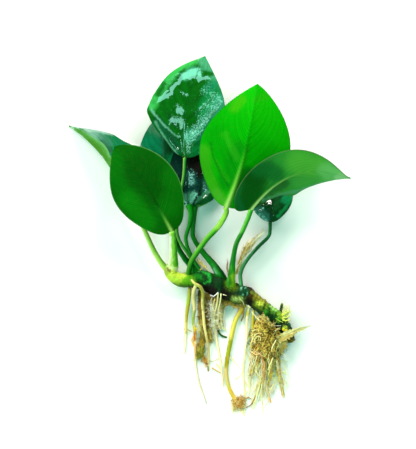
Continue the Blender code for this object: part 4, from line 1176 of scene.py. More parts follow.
def laidStrands(name, strands, finish):
    # strands laid one by one: (radius at start, radius at end, hex at start, hex at end, route)
    routes = np.stack([smoothValues(route, 14) for *_, route in strands])
    radii = np.array([strand[:2] for strand in strands])
    shades = np.array([[linearColour(code) for code in strand[2:4]] for strand in strands])
    sway = np.stack([ripples(routes, 2.2, seed) for seed in (1.0, 2.0, 3.0)], axis=-1)
    strandBody(name, routes + 0.12 * sway, radii, shades, finish, 40, 8)


rootFelt()
creamRootlets = (
    (0.3, 0.2, "#b8b052", "#8f8a50", (-13.1, -47.4, 1, -11.1, -47.9, 1.2, -9.1, -48.6, 1.5)),
    (0.4, 0.25, "#e8d020", "#e0c852", (-8.1, -46.8, 2, -6.9, -47.1, 2.4, -6.1, -48.3, 2)),
    (
        0.45, 0.35, "#d9a241", "#e8cf82",
        (-8.1, -50.9, 1.5, -9.1, -52.9, 1.3, -8.1, -55.9, 1.2, -7.1, -57.9, 1),
    ),
    (0.35, 0.2, "#8a6a28", "#5c4a20", (-5.6, -59.4, 1.2, -4.1, -61.4, 0.8, -2.6, -63.4, 0.5)),
    (0.22, 0.16, "#a8a060", "#c8c074", (-0.6, -63.4, 0.8, 0.9, -63.6, 1.2, 2.9, -62.9, 1, 4.9, -61.9, 0.6)),
    (0.4, 0.3, "#c8a860", "#b09058", (0.9, -66.9, 0.8, 2.9, -68.1, 1, 5.1, -69.4, 0.8)),
    (0.3, 0.18, "#d8c074", "#e8dc97", (2.9, -64.9, 0.7, 4.4, -66.4, 0.8, 5.4, -68.4, 0.6)),
    (
        0.42, 0.4, "#f0e8a5", "#ece297",
        (3.8, -28.9, 11, 3.3, -34.6, 7, 2.1, -39.7, 4, 1.9, -45.3, 2.6, 2.9, -51.8, 1.8),
    ),
    (0.4, 0.3, "#f4f0b6", "#e0d289", (5.3, -29.4, 11, 4.8, -34, 7.5, 4.1, -38.2, 5, 3.9, -42.8, 3)),
    (0.34, 0.2, "#d8c87b", "#e8e09e", (2.3, -32, 9, 1.4, -35.7, 5.5, 0.9, -40.3, 3.5, 1.4, -45.3, 2.2)),
    (0.3, 0.2, "#e8d889", "#d8c87b", (0.9, -41.8, 3, 1.9, -44.3, 2.6, 3.4, -45.8, 2.2, 2.9, -48.4, 1.8)),
    (0.28, 0.16, "#ffffff", "#fbfbf4", (3.8, -28.6, 12, 1.8, -30.4, 11.6, -0.1, -29.9, 11.4)),
    (0.26, 0.16, "#f6f4c9", "#e0d89e", (6.2, -29.6, 11.4, 8, -30.1, 11)),
    (0.25, 0.12, "#e8e0a5", "#f4f0c0", (14.6, -31.9, 11, 16.1, -33.4, 9.5, 16.7, -35, 8)),
    (
        0.4, 0.32, "#f4eeae", "#e8dd97",
        (7.4, -47.9, 1, 5.9, -45.9, 1.8, 5.4, -41.8, 2.4, 5.8, -37.3, 3.2, 7.8, -33.7, 4.2),
    ),
    (0.25, 0.14, "#e8d87b", "#f0e8a5", (10.4, -61.4, 1.2, 12.9, -64.9, 0.9, 15.4, -67.4, 0.9)),
    (0.25, 0.14, "#e8d87b", "#f4ecb2", (12.4, -72.4, 0.8, 14.4, -71.2, 0.8, 16.1, -68.9, 0.9)),
    (0.22, 0.12, "#e8d87b", "#f4ecb2", (17.8, -58.9, 1.2, 19.3, -61.9, 0.8, 19.9, -64.9, 0.6)),
    (0.28, 0.14, "#e8dc89", "#f4ecb2", (16.9, -72.9, 0.8, 18.4, -75.4, 0.6, 20.4, -77.4, 0.5)),
    (0.5, 0.35, "#a07a38", "#7a5a28", (15.2, -34.1, 6, 16.5, -36.7, 4.5, 16.5, -40.3, 3, 15.6, -43.3, 2.2)),
    (0.4, 0.25, "#8a6228", "#b08c48", (16.2, -34.7, 5.5, 15.5, -38.3, 3.6, 14.3, -41.8, 2.6)),
    (0.34, 0.2, "#c8a852", "#8a6c30", (16.9, -82.9, 0.7, 18.9, -81.6, 0.8, 20.4, -82.4, 0.6)),
    (0.34, 0.2, "#f0e6ac", "#e8dc97", (14.4, -86.9, 0.6, 15.9, -88.9, 0.5, 17.4, -90.9, 0.4)),
    (
        0.36, 0.22, "#a8854c", "#7c6238",
        (22.8, -79.9, 0.8, 21.3, -83.9, 0.9, 19.4, -85.9, 0.7, 16.9, -86.9, 0.5),
    ),
    (
        0.36, 0.2, "#f4eeb2", "#f8f4c4",
        (17.9, -78.4, 0.7, 17.1, -83.4, 0.6, 16.4, -87.4, 0.5, 16.9, -90.9, 0.4),
    ),
    (
        0.3, 0.16, "#e8e6b9", "#f2f0c5",
        (-7.6, -64.9, 0.9, -6.6, -70.4, 0.6, -5.6, -75.4, 0.5, -3.6, -80.4, 0.4, -1.9, -85, 0.3),
    ),
    (0.32, 0.2, "#e6e097", "#f0ecb2", (-12.1, -47.9, 1.2, -13.1, -52.9, 0.9, -12.9, -58.9, 0.6)),
)
laidStrands("cream_rootlets", creamRootlets, "waxyRoot")

# dry fibres over the green part, then the yellow-green spur and the bud near the old end
rhizomeHairs = (
    (0.25, 0.14, "#c8b060", "#a89050", (-5.5, -11.7, 12, -4.6, -14.1, 12.5, -2.6, -16.6, 12.3)),
    (0.22, 0.12, "#b89a4b", "#d8c87b", (-6, -13.6, 12.2, -4.1, -15.1, 12.8, -1.6, -15.6, 12.4)),
    (0.2, 0.12, "#d8c87b", "#e8e097", (-5.1, -17.6, 12, -3.6, -16.1, 12.7, -3.1, -13.6, 12.4)),
    (0.7, 0.1, "#a8d020", "#e0e868", (33.4, -40.9, 8, 36.3, -39.6, 9.4, 39.2, -37.3, 10)),
    (0.6, 0.1, "#b8d83c", "#e8f080", (33.9, -41.4, 8, 37.3, -41.1, 9.2, 40.3, -39.4, 9.4)),
    (0.6, 0.1, "#c8e048", "#f0f489", (34.4, -41.9, 8, 37.3, -42.6, 9, 39.8, -41.9, 8.8)),
    (0.4, 0.08, "#c0dc60", "#f4f8a5", (34.9, -40.4, 8.4, 36.8, -37.9, 9.6, 37.5, -34.9, 10)),
    (0.5, 0.1, "#9cc818", "#d8e468", (31.4, -40.4, 8.6, 33.4, -42.3, 9.4, 35.9, -43.6, 9)),
    (0.8, 0.4, "#d8c020", "#c8b83c", (35.9, -46.8, 8.2, 37.6, -47.5, 8.8, 38.6, -47.8, 8.4)),
    (0.14, 0.08, "#f4f4b2", "#f4f4e0", (28.5, -43.9, 8, 31.4, -45.1, 8.8, 34.9, -45.1, 9)),
    (0.24, 0.12, "#e8e0a0", "#f8f4c0", (20.6, -38.5, 6.8, 22.6, -41, 7, 24.6, -42.9, 8)),
    (0.45, 0.3, "#fbf8ca", "#f0ecb9", (18.6, -35.3, 7.4, 19.9, -36.3, 7.2)),
)
laidStrands("rhizome_hairs", rhizomeHairs, "smoothPetiole")
print("rootlets laid")

# Both lines have the clump's y, and there its middle, half width and height: reachLine for the
# strands and core for the dark lump under them. Strands are drawn in layers: top is the strip of y
# that they start in, heading has their mean and spread in degrees (-90 is down the clump), and
# level is their share of the clump's height. Lobes are what the lower strands are gathered in:
# (strands, half width at start and end, tones, route). The first five are spikes that stand up over
# the rhizome's lower side.
rootMass = dict(
    reachLine=(
        (-38.6, 26.2, 0.4, 9.6), (-40.5, 26.2, 1.6, 9.8), (-43.2, 26.7, 3.8, 10.0), (-46.5, 27.7, 6.2, 9.6),
        (-50, 28.2, 8.0, 8.9), (-58, 28.0, 8.4, 8.8), (-62.0, 27.8, 8.6, 8.0), (-73, 28.4, 8.0, 5.2),
        (-80, 27.2, 5.6, 3.2), (-87, 26.0, 4.0, 1.8),
    ),
    core=(
        (-43.5, 28.0, 3.0, 3.0), (-46, 27.8, 5.6, 5.6), (-52, 27.6, 6.8, 7.2), (-58, 27.6, 7.0, 7.2),
        (-62, 27.4, 6.4, 6.4), (-65, 27.6, 4.6, 4.4), (-68, 28.0, 1.6, 1.8),
    ),
    coreBase="#9c8a48", coreShade=0.55, tan="#e0c470", places=14, ends=(-88.5, -38.6), spread=0.95,
    rim=(0.9, 1.3),
    layers=dict(
        root_mass_top_felt=dict(
            count=560, top=(-49, -41.5), length=(4, 10), heading=(-95, 60), curl=1.25, radii=(0.08, 0.17),
            light=(0.12, 1.7), level=(0.8, 1.15),
        ),
        root_mass_tangle=dict(
            count=520, top=(-58, -47), length=(4, 9), heading=(-90, 50), curl=1.0, radii=(0.08, 0.19),
            light=(0.12, 1.6), level=(0.78, 1.14),
        ),
        root_mass_shoulder=dict(
            count=200, top=(-47, -41), length=(3, 8), heading=(80, 50), curl=0.7, radii=(0.07, 0.14),
            light=(0.2, 1.7), level=(0.85, 1.2),
        ),
        root_mass_pale_curls=dict(
            count=70, top=(-57, -43), length=(4, 9), heading=(-85, 60), curl=0.9, radii=(0.11, 0.18),
            light=(1.3, 1.9), level=(1.05, 1.16),
        ),
        root_mass_side_hairs=dict(
            count=110, top=(-74, -50), length=(4, 9), heading=(-30, 40), curl=0.35, radii=(0.07, 0.12),
            light=(1.6, 2.3), level=(0.3, 1.0),
        ),
    ),
    strokes=(
        ("#a8923e", 0.9, 4.4, (25.9, -47, 30.9, -50, 29.9, -55)),
        ("#7c6a24", 0.8, 1.6, (27.9, -46, 30.9, -48, 28.9, -52)),
        ("#6e5c1c", 0.6, 1.2, (23.9, -50, 25.9, -53, 29.9, -58)),
        ("#8a7428", 0.7, 1.4, (32.9, -47, 34.9, -50)),
        ("#b89a44", 0.7, 3.4, (23.9, -55, 27.9, -58, 30.9, -61)),
        ("#e0b450", 0.8, 2.0, (20.4, -57, 23.9, -57.5)), ("#ecc488", 0.9, 1.6, (21.4, -59.5, 25.4, -60.5)),
        ("#e0b45c", 0.85, 4.0, (21.9, -64, 21.9, -69)), ("#dcae50", 0.85, 4.0, (27.9, -64, 28.9, -71)),
        ("#e4bc58", 0.8, 3.0, (33.9, -64, 35.9, -73)), ("#c49c58", 0.8, 2.2, (26.4, -66, 26.4, -74)),
        ("#b89c4c", 0.7, 2.0, (29.9, -69, 30.4, -74)), ("#bca048", 0.8, 1.6, (32.9, -64, 35.4, -76)),
    ),
    lobes=(
        (
            14, 1.0, 1.2, ("#d8cc80", "#b4a458", "#f4ecb0"),
            (25.5, -47.2, 9.6, 24.5, -43.2, 10.2, 22.5, -40.3, 9.6),
        ),
        (
            18, 1.0, 1.4, ("#d8cc80", "#b4a458", "#f4ecb0"),
            (26.5, -47.2, 9.8, 26.4, -42.2, 10.6, 25.4, -37.8, 10.4),
        ),
        (
            18, 1.0, 1.4, ("#d8cc80", "#a89850", "#e8e0a0"),
            (27.4, -47.7, 9.8, 28.4, -43.2, 10.8, 28.9, -39.2, 11),
        ),
        (
            16, 1.0, 1.4, ("#d0c478", "#a89850", "#f4ecb0"),
            (28.4, -48.7, 9.8, 30.8, -44.7, 10.8, 32.3, -41.7, 11),
        ),
        (
            14, 1.0, 1.2, ("#d8cc80", "#b4a458", "#f4ecb0"),
            (29.9, -50.7, 9.8, 32.3, -47.7, 10.2, 34.8, -45.2, 10),
        ),
        (
            70, 2.0, 0.9, ("#f0cc64", "#c8a03c", "#fce498", "#fff8d8"),
            (22.6, -57.3, 7.4, 21.4, -62.4, 6.2, 20.5, -66.5, 4.4, 19.8, -72.2, 2.4),
        ),
        (
            60, 1.5, 0.6, ("#f0cc64", "#b08c30", "#fce498", "#fff8d8"),
            (24.5, -58.2, 8.2, 23.6, -62.8, 6.8, 23, -67, 4.6, 21.8, -71.2, 2.4),
        ),
        (
            100, 2.0, 0.8, ("#f0b85c", "#c08c40", "#fcdc90", "#d8a448", "#fff8dc"),
            (26, -58.2, 8.4, 26.3, -64.2, 7, 26.2, -70.5, 4.4, 25.8, -77.7, 2),
        ),
        (
            90, 2.0, 0.8, ("#e4bc50", "#f8d880", "#b08c30", "#fff8dc"),
            (29.5, -58.2, 8.4, 30, -64.3, 6.8, 29.7, -70.5, 4.4, 29.8, -76.8, 1.8),
        ),
        (
            90, 1.7, 0.6, ("#e0b43c", "#f0d468", "#b08c30", "#fcf4c8"),
            (32, -58.3, 7.6, 33.3, -64.4, 6, 34.7, -71.6, 3.4, 36.8, -82.9, 0.9),
        ),
        (
            14, 2.2, 2.2, ("#fcf4c8", "#f0e4a4"),
            (25.2, -71.6, 3.6, 23.8, -76.7, 2.4, 22.3, -81.8, 1.2, 20.9, -88.9, 0.6),
        ),
        (
            9, 2.2, 2.2, ("#fffad8", "#f0e4a8"),
            (26.2, -72.6, 3.4, 25.8, -78.7, 2, 26.1, -83.9, 1, 26.4, -89.4, 0.5),
        ),
        (
            9, 2.0, 1.6, ("#fcf0c4", "#e8cc90"),
            (27.7, -72.6, 3.4, 28.3, -77.7, 2.2, 29.3, -81.3, 1.2, 30.1, -84.9, 1),
        ),
        (
            14, 2.2, 2.2, ("#fffad8", "#f0e4a8"),
            (31.2, -73.7, 2.6, 30.3, -77.8, 1.8, 29.1, -81.4, 1.1, 28.3, -87.9, 0.6),
        ),
        (
            10, 1.6, 1.4, ("#fcf4c8", "#f0e4a8"),
            (20.8, -66.7, 3, 20.1, -71.8, 1.8, 20.3, -76.9, 1, 19.4, -83.9, 0.5),
        ),
        (
            24, 4.0, 3.0, ("#fff8d0", "#f4e4a4"),
            (26.5, -60.1, 8.8, 25.6, -67.3, 6.4, 26.2, -73.5, 4, 26.8, -79.8, 1.8),
        ),
    ),
)


def massShape(y, key):
    # middle, half width and height of the clump at the given y
    line = smoothValues(rootMass[key], 80)[::-1]
    return [np.interp(y, line[:, 0], line[:, column]) for column in (1, 2, 3)]


def rootMassCore():
    # half ellipses with a flat underside and a lumpy top
    y = np.linspace(rootMass["core"][0][0], rootMass["core"][-1][0], 90)
    arc = np.linspace(0, math.pi, 48)
    middle, half, height = (values[:, None] for values in massShape(y, "core"))
    x = middle + half * np.cos(arc)
    z = height * np.abs(np.sin(arc)) ** 0.7
    rings = np.stack([x, y[:, None] + 0 * x, z], axis=-1)
    lumps = 0.7 * ripples(rings, 2.6, 3.0) + 0.35 * ripples(rings, 1.2, 5.0)
    rings = rings + (lumps * (z > 0.3))[..., None] * [0.4, 0, 1]
    rings[..., 2] = np.maximum(rings[..., 2], 0)
    # coreShade darkens the whole lump: painted shade under the strands
    colours = paintedOn(rings, rootMass["coreBase"], rootMass["strokes"]) * rootMass["coreShade"]
    marks = {key: np.zeros(rings.shape[:2]) for key in ("along", "side", "front")}
    makeBody("root_mass_core", rings, rings[[0, -1]].mean(axis=1), ("feltedRoot",), colours, marks,
             ("root_mass",))


def massStrands(name, layer):
    # strands that start in a strip of the clump, run at a heading and wander: the heading swings by
    # a sum of two sine waves. They lie at their own level of the dome over the clump.
    count, places = layer["count"], rootMass["places"]
    t = np.linspace(0, 1, places)
    y = luck.uniform(*layer["top"], count)
    middle, half, _ = massShape(y, "reachLine")
    x = middle + half * luck.uniform(-rootMass["spread"], rootMass["spread"], count)
    phase = luck.uniform(0, 2 * math.pi, (2, count, 1))
    swing = np.sin(drawn((3, 7), count) * t + phase[0])
    swing = swing + 0.6 * np.sin(drawn((7, 13), count) * t + phase[1])
    mean, spreading = layer["heading"]
    angle = np.radians(luck.normal(mean, spreading, (count, 1))) + layer["curl"] * swing
    step = drawn(layer["length"], count) / places
    routeX = x[:, None] + np.cumsum(step * np.cos(angle), axis=1)
    routeY = y[:, None] + np.cumsum(step * np.sin(angle), axis=1)
    routeY = np.clip(routeY, *rootMass["ends"])
    middle, half, height = massShape(routeY, "reachLine")
    limit = drawn(rootMass["rim"], count)
    across = np.clip((routeX - middle) / half, -limit, limit)
    routeX = middle + half * across
    dome = height * np.clip(1 - across**2, 0, 1) ** 0.4
    floatLevel = drawn(layer["level"], count)
    wave = 0.35 * np.sin(drawn((4, 9), count) * t + phase[1])
    z = dome * floatLevel + wave * np.minimum(dome, 1)
    thickness = tapered(layer["radii"], count)
    shades = brightening(drawn(layer["light"], count) ** 1.5 * np.ones(3), 1.15)
    strandBody(name, np.stack([routeX, routeY, z], axis=-1), thickness, shades, "dryFibre",
               26, 4, (), rootMass["strokes"], rootMass["tan"])


def bundleStrands(name, bundles, finish, radii, stops):
    # strands that follow a bundle's own route at a sideways offset, from (number, half width at
    # start and end, tones, route); each stops at its own share of the route
    places = 12
    routes, shades = [], []

    def read(values, share):
        columns = [np.interp(share, np.linspace(0, 1, len(values)), column) for column in values.T]
        return np.stack(columns, axis=-1)

    for count, wide, narrow, tones, route in bundles:
        line = smoothValues(route, 60)
        start, stop = drawn((0, 0.35), count), drawn(stops, count)
        share = start + (stop - start) * np.linspace(0, 1, places)
        path = read(line, share)
        across = read(unit(np.gradient(line, axis=0)[..., [1, 0, 2]] * [1, -1, 0]), share)
        width = wide + (narrow - wide) * share
        phase = luck.uniform(0, 2 * math.pi, (2, count, 1))
        wander = np.sin(drawn((3, 9), count) * share + phase[0])
        offset = width * (0.75 * drawn((-1, 1), count) + 0.4 * wander)
        drop = np.sqrt(np.clip(1 - (offset / (1.15 * width)) ** 2, 0.02, 1))
        level = drawn((0.25, 1.0), count)
        crinkle = 0.22 * np.sin(drawn((10, 22), count) * share + phase[1])
        path += (offset + crinkle)[..., None] * across
        path[..., 1] += 0.4 * np.sin(9 * share + phase[1])
        path[..., 2] = path[..., 2] * (0.25 + 0.75 * drop * level) + 0.25 * np.sin(8 * share + phase[1])
        routes.append(path)
        shades.append(brightening(pickColours(tones, count, 0.65, 1.3), 1.15))
    routes = np.concatenate(routes)
    strandBody(name, routes, tapered(radii, len(routes)), np.concatenate(shades), finish, 26, 4)


# the yellow-green spur near the old end, as lobes
spurHairs = (
    (
        40, 2.2, 2.6, ("#e4f060", "#f4f8a0", "#c8dc40", "#fcffc0"),
        (32.9, -41.4, 8.6, 35.3, -40.3, 9.6, 37.8, -38.6, 10, 40.2, -37.3, 10),
    ),
    (
        22, 1.6, 2.4, ("#e4f060", "#f4f8a0", "#fcffc0"),
        (33.9, -43.4, 8.6, 35.8, -40.8, 9.8, 36.8, -37.8, 10, 37.3, -34.9, 10),
    ),
    (
        20, 1.2, 1.8, ("#d8e850", "#f4f8a0"),
        (32.4, -39.4, 9.2, 34.8, -41.3, 9.8, 37.3, -42.5, 9.6, 39.3, -43.3, 9),
    ),
)
bundleStrands("spur_hairs", spurHairs, "smoothPetiole", (0.07, 0.15), (0.6, 1.0))
rootMassCore()
for layerName, layerValues in rootMass["layers"].items():
    massStrands(layerName, layerValues)
bundleStrands("root_mass_lobes", rootMass["lobes"], "dryFibre", (0.09, 0.22), (0.45, 1.0))
# single strands on the clump that can be told apart
laidRoots = (
    (
        0.24, 0.18, "#d8b850", "#ecd989",
        (32.5, -59.3, 7, 33.3, -64.4, 5.4, 34.7, -70.7, 3, 35.5, -75.8, 1.8, 36.6, -81.9, 0.9),
    ),
    (
        0.3, 0.18, "#c88c44", "#f0df90",
        (26, -60.6, 8.4, 26.6, -66.2, 7, 26.2, -72.5, 4, 25.8, -80.8, 1.6, 26.4, -88.9, 0.5),
    ),
    (
        0.24, 0.18, "#d4ac64", "#ecc890",
        (27, -63.1, 8.2, 27.1, -67.8, 6.6, 27.4, -73, 4, 28.8, -78.2, 2, 29.8, -82.9, 1.1),
    ),
    (0.5, 0.42, "#f4b878", "#eca458", (29.4, -81.8, 1.2, 30.2, -84.1, 1.2)),
    (
        0.3, 0.18, "#f0e090", "#f8f0b2",
        (25.2, -72.5, 3.8, 24.3, -76.7, 2.4, 23.1, -81.3, 1.2, 21.9, -87.4, 0.6),
    ),
    (0.28, 0.16, "#f8f0ac", "#fbf8c4", (25.7, -74.6, 3.6, 25.3, -79.7, 2, 25.8, -83.9, 1, 26.6, -89.4, 0.5)),
    (0.28, 0.18, "#f0e297", "#f8f0b6", (31.7, -74.7, 2.6, 30.3, -77.2, 2, 29.1, -79.6, 1.4)),
    (0.3, 0.26, "#f8f0ac", "#f4eca8", (30.9, -61.1, 8.6, 29.5, -64.6, 8, 28.6, -67.2, 6.8)),
    (
        0.26, 0.24, "#fbf6bd", "#f8f0af",
        (32.4, -52.2, 9.2, 31.4, -54.1, 9.9, 30.4, -56.1, 9.9, 30.2, -57.3, 9.4, 30.9, -58.1, 9),
    ),
    (
        0.24, 0.2, "#f4ecac", "#ecdc90",
        (20.7, -54.9, 6.6, 20.6, -52.6, 7.4, 21.8, -50, 8.8, 24, -48.7, 9.4, 25.5, -49.2, 9.6),
    ),
    (
        0.22, 0.18, "#f4ecac", "#ecdc90",
        (21.6, -54.3, 7.8, 22.1, -51.7, 8.8, 23.5, -50.2, 9.6, 24.7, -50.9, 9.8, 24.5, -52.6, 9.8),
    ),
    (0.24, 0.18, "#f0e497", "#dcc874", (20.7, -48, 6.6, 22.6, -47.3, 8.4, 25, -47.7, 9.2)),
    (
        0.26, 0.2, "#f4e49a", "#e4d082",
        (19.7, -55.9, 6.4, 20.1, -53.8, 7.4, 21.1, -53, 8.4, 22.5, -53.7, 9.2),
    ),
    (
        0.28, 0.2, "#f4d493", "#e8b874",
        (20.6, -58.3, 7, 22.6, -59.4, 8.6, 24.5, -59.1, 9.2, 25.5, -60.6, 9.2),
    ),
    (
        0.26, 0.2, "#f8eca8", "#ecd889",
        (23.1, -60.1, 8.6, 22.1, -63.2, 7.6, 21.2, -66.4, 5.6, 20.8, -69.6, 3.4),
    ),
    (
        0.24, 0.18, "#f4e497", "#f8f0b2",
        (29.4, -58.1, 9.4, 28.5, -62.1, 9, 29.5, -66.2, 7.4, 28.6, -69.9, 5.4),
    ),
    (0.3, 0.14, "#f8f8cc", "#ffffff", (35.6, -59.1, 4, 37.6, -60.3, 4.6, 40.4, -62.6, 3.4)),
    (0.2, 0.1, "#f0ecb9", "#ffffff", (35.2, -63.6, 3.6, 37.7, -66.6, 3.2, 39.3, -70.8, 2, 38.8, -74.9, 1)),
    (0.2, 0.1, "#e8e09e", "#f8f4c7", (34.7, -68.7, 2.6, 37.2, -68.6, 3.2, 39.3, -72.3, 2, 39.8, -75.9, 1)),
    (0.2, 0.1, "#e8e09e", "#f8f4c7", (35.8, -72.8, 1.6, 37.8, -74.3, 1.6, 38.3, -78.4, 0.6)),
    (0.22, 0.12, "#f4eca8", "#fbf8c9", (33.7, -68.6, 3.2, 35.7, -70.7, 3, 37.3, -73.8, 2, 36.8, -76.8, 1.2)),
    (
        0.24, 0.14, "#f4eca8", "#fbf8c9",
        (24.3, -74.2, 2.8, 23.1, -80.8, 1.3, 21.3, -85.4, 0.8, 20.9, -89.4, 0.5),
    ),
)
laidStrands("root_mass_laid", laidRoots, "waxyRoot")
print("root mass made")

# a flat knot of short orange-tan fibres where two roots end, with a pale fringe; half has its half
# sizes, and lengths and radii are in mm. The fringe runs at a mean heading with a spread, in radians.
rootTuft = dict(
    centre=(14.3, -83.8, 1.2), half=(3.6, 3.2, 1.4), count=700, length=(1.5, 4.5), curl=1.4,
    radii=(0.06, 0.12), tones=("#d8a850", "#b88838", "#e4c070", "#c89844", "#f4e0a4", "#8c6c30"),
    fringe=60, fringeBox=((-3.6, 2.4), (-3.2, 1.0), (-0.6, 0.2)), fringeHeading=(-1.9, 0.5),
    fringeLength=(1.5, 4.5), fringeRadii=(0.08, 0.16), fringeTones=("#f0d897", "#f4e8af", "#e8c882"),
)


def tuftStrands():
    count, places = rootTuft["count"], 7
    centre = np.array(rootTuft["centre"])
    t = np.linspace(0, 1, places)
    start = unit(luck.normal(size=(count, 3))) * drawn((0.2, 1.0), count) * rootTuft["half"]
    angle = drawn((0, 2 * math.pi), count)
    angle = angle + rootTuft["curl"] * np.sin(drawn((2, 5), count) * t)
    step = drawn(rootTuft["length"], count) / places
    x, y = np.cumsum(step * np.cos(angle), axis=1), np.cumsum(step * np.sin(angle), axis=1)
    route = np.stack([x, y, 0.3 * np.sin(3 * t + angle)], axis=-1)
    routes = centre + start[:, None] + 0.6 * route
    shades = brightening(pickColours(rootTuft["tones"], count), 1.1)
    strandBody("root_tuft_knot", routes, tapered(rootTuft["radii"], count), shades, "dryFibre",
               14, 5, ("root_tuft",))
    count = rootTuft["fringe"]
    start = centre + np.stack([luck.uniform(*limits, count) for limits in rootTuft["fringeBox"]], axis=1)
    angle = luck.normal(*rootTuft["fringeHeading"], count)
    reach = luck.uniform(*rootTuft["fringeLength"], count)
    way = np.stack([reach * np.cos(angle), reach * np.sin(angle), -0.3 * np.ones(count)], axis=1)
    routes = start[:, None] + way[:, None] * np.array([0, 0.5, 1.0])[:, None]
    routes = routes + luck.normal(scale=0.15, size=routes.shape)
    shades = brightening(pickColours(rootTuft["fringeTones"], count), 1.1)
    strandBody("root_tuft_fringe", routes, tapered(rootTuft["fringeRadii"], count), shades,
               "dryFibre", 8, 4)


tuftStrands()


# dry leaf bases: thin sheets with half widths along their route and ragged edges
sheetGrid = dict(rows=90, sides=24, thickness=0.16, least=0.08, rib=0.07, cup=0.35)
drySheets = {
    "dry_sheath_paper": dict(
        route=(
            12.7, -19.7, 7.2, 14.2, -14.8, 8, 16.1, -9.8, 9, 18.6, -6.3, 9.4, 21.6, -3.4, 9, 24.5, -0.4, 8.6,
            27, 2, 8,
        ),
        halves=(0.5, 0.5, 0.8, 1.3, 0.8, 0.5, 0.15), rag=0.7, base="#d8c88c", replaced=("dry_sheath",),
        strokes=(
            ("#b8a060", 0.8, 1.2, (13.4, -19, 15.4, -12)), ("#a8884c", 0.8, 1.2, (17.9, -7.5, 20.4, -5.5)),
            ("#fffbe0", 1.0, 2.0, (22.9, -2, 27.4, 2)),
        ),
    ),
    "dry_scale_paper": dict(
        route=(
            33.4, -52.3, 8.2, 36.4, -50.5, 8.6, 39.3, -49, 8.5, 42.4, -47.6, 7.6, 46, -46.7, 5.6, 50.1,
            -45.5, 3.2,
        ),
        halves=(1.7, 2.1, 1.8, 1.2, 0.6, 0.12), rag=0.35, base="#e2d689", replaced=("dry_scale",),
        strokes=(
            ("#f6f0af", 0.9, 0.9, (36.9, -50, 42.9, -47.5, 49.9, -45.5)),
            ("#b89c48", 0.8, 0.9, (34.9, -53.5, 38.9, -51.5, 42.4, -49.5)),
            ("#c8b059", 0.7, 1.2, (33.4, -53, 35.4, -52)),
        ),
    ),
    "dry_scale_flap": dict(
        route=(36.4, -51.3, 8.2, 34.9, -53.8, 7.9, 33.5, -56.8, 7, 32.6, -59.4, 6),
        halves=(2.2, 3.2, 2.8, 0.9), rag=0.5, base="#a89c50", replaced=(),
        strokes=(
            ("#8c7c38", 0.8, 1.0, (36.9, -56, 34.9, -59)), ("#c8c088", 0.8, 0.7, (34.9, -53, 33.9, -58.5)),
            ("#8c7c2c", 0.9, 0.7, (33.4, -54, 31.9, -59.5)),
        ),
    ),
}


def sheetBody(name, sheet):
    # a thin cupped sheet along its route: three sine waves fray its edges and one ribs its face
    rows = sheetGrid["rows"]
    path = smoothValues(sheet["route"], rows)
    half = smoothValues([[value] for value in sheet["halves"]], rows)
    half = np.maximum(half, sheetGrid["least"])
    along = unit(np.gradient(path, axis=0))
    side = unit(np.cross(along, [0.0, 0.0, 1.0]))
    above = np.cross(side, along)
    angles = np.linspace(0, 2 * math.pi, sheetGrid["sides"], endpoint=False)
    t = np.linspace(0, 1, rows)[:, None]
    frayed = np.sin(31 * t + 1.3) * np.sin(17 * t) + 0.6 * np.sin(67 * t + angles)
    x = half * (1 + sheet["rag"] * frayed * 0.5) * np.cos(angles)
    rib = sheetGrid["rib"] * np.sin(9 * np.cos(angles) + 4 * t)
    z = sheetGrid["thickness"] * np.sin(angles) + rib + sheetGrid["cup"] * x**2 / np.maximum(half, 0.4)
    rings = path[:, None] + side[:, None] * x[..., None] + above[:, None] * z[..., None]
    colours = paintedOn(rings, sheet["base"], sheet["strokes"])
    makeBody(name, rings, path[[0, -1]], ("paperySheath",), colours, tubeMarks(path, angles),
             sheet["replaced"], share=sheetShare)


for sheetName, sheetValues in drySheets.items():
    sheetBody(sheetName, sheetValues)
dryFibres = (
    (0.28, 0.12, "#d8c87b", "#ffffff", (18.1, -6.3, 9.6, 22, -2.9, 9.6, 26.5, 1.1, 8.8)),
    (0.28, 0.12, "#c8b467", "#f0e8ac", (16.6, -9.3, 9.4, 19.1, -4.9, 10, 20.6, -1.9, 9.6)),
    (0.24, 0.1, "#b89c52", "#e8dc97", (17.6, -8.3, 9.6, 17.6, -4.9, 9.8, 19.1, -2.4, 9.4)),
    (0.24, 0.1, "#a88c50", "#d8c87b", (15.1, -12.8, 9, 15.6, -7.8, 9.6, 16.6, -4.9, 9.6)),
    (0.22, 0.1, "#c8b467", "#e8dc97", (18.6, -7.3, 9.2, 21.1, -5.8, 9.2, 23, -3.4, 8.8)),
    (0.3, 0.16, "#8a7038", "#b09458", (13.7, -16.7, 8, 14.7, -11.8, 9, 16.6, -7.8, 9.6)),
    (0.22, 0.1, "#e8dc97", "#fbf8c9", (23.5, -1.9, 9.2, 25.5, -0.4, 9, 27.5, 0.6, 8.4)),
    (
        0.24, 0.1, "#e2d689", "#fbf8c4",
        (36.3, -49.7, 9, 41.3, -47.3, 8.4, 45.4, -45.5, 6.6, 47.5, -43.6, 5.6),
    ),
    (0.24, 0.1, "#e2d689", "#fbf8c4", (39.3, -49.3, 8.8, 43.4, -48.1, 7.4, 47.5, -47.6, 5.2)),
    (0.22, 0.1, "#c8b467", "#f0e8ac", (35.4, -52.2, 8.6, 39.3, -50.8, 8.4, 42.4, -49.9, 7)),
)
laidStrands("dry_sheath_fibres", dryFibres, "dryFibre")
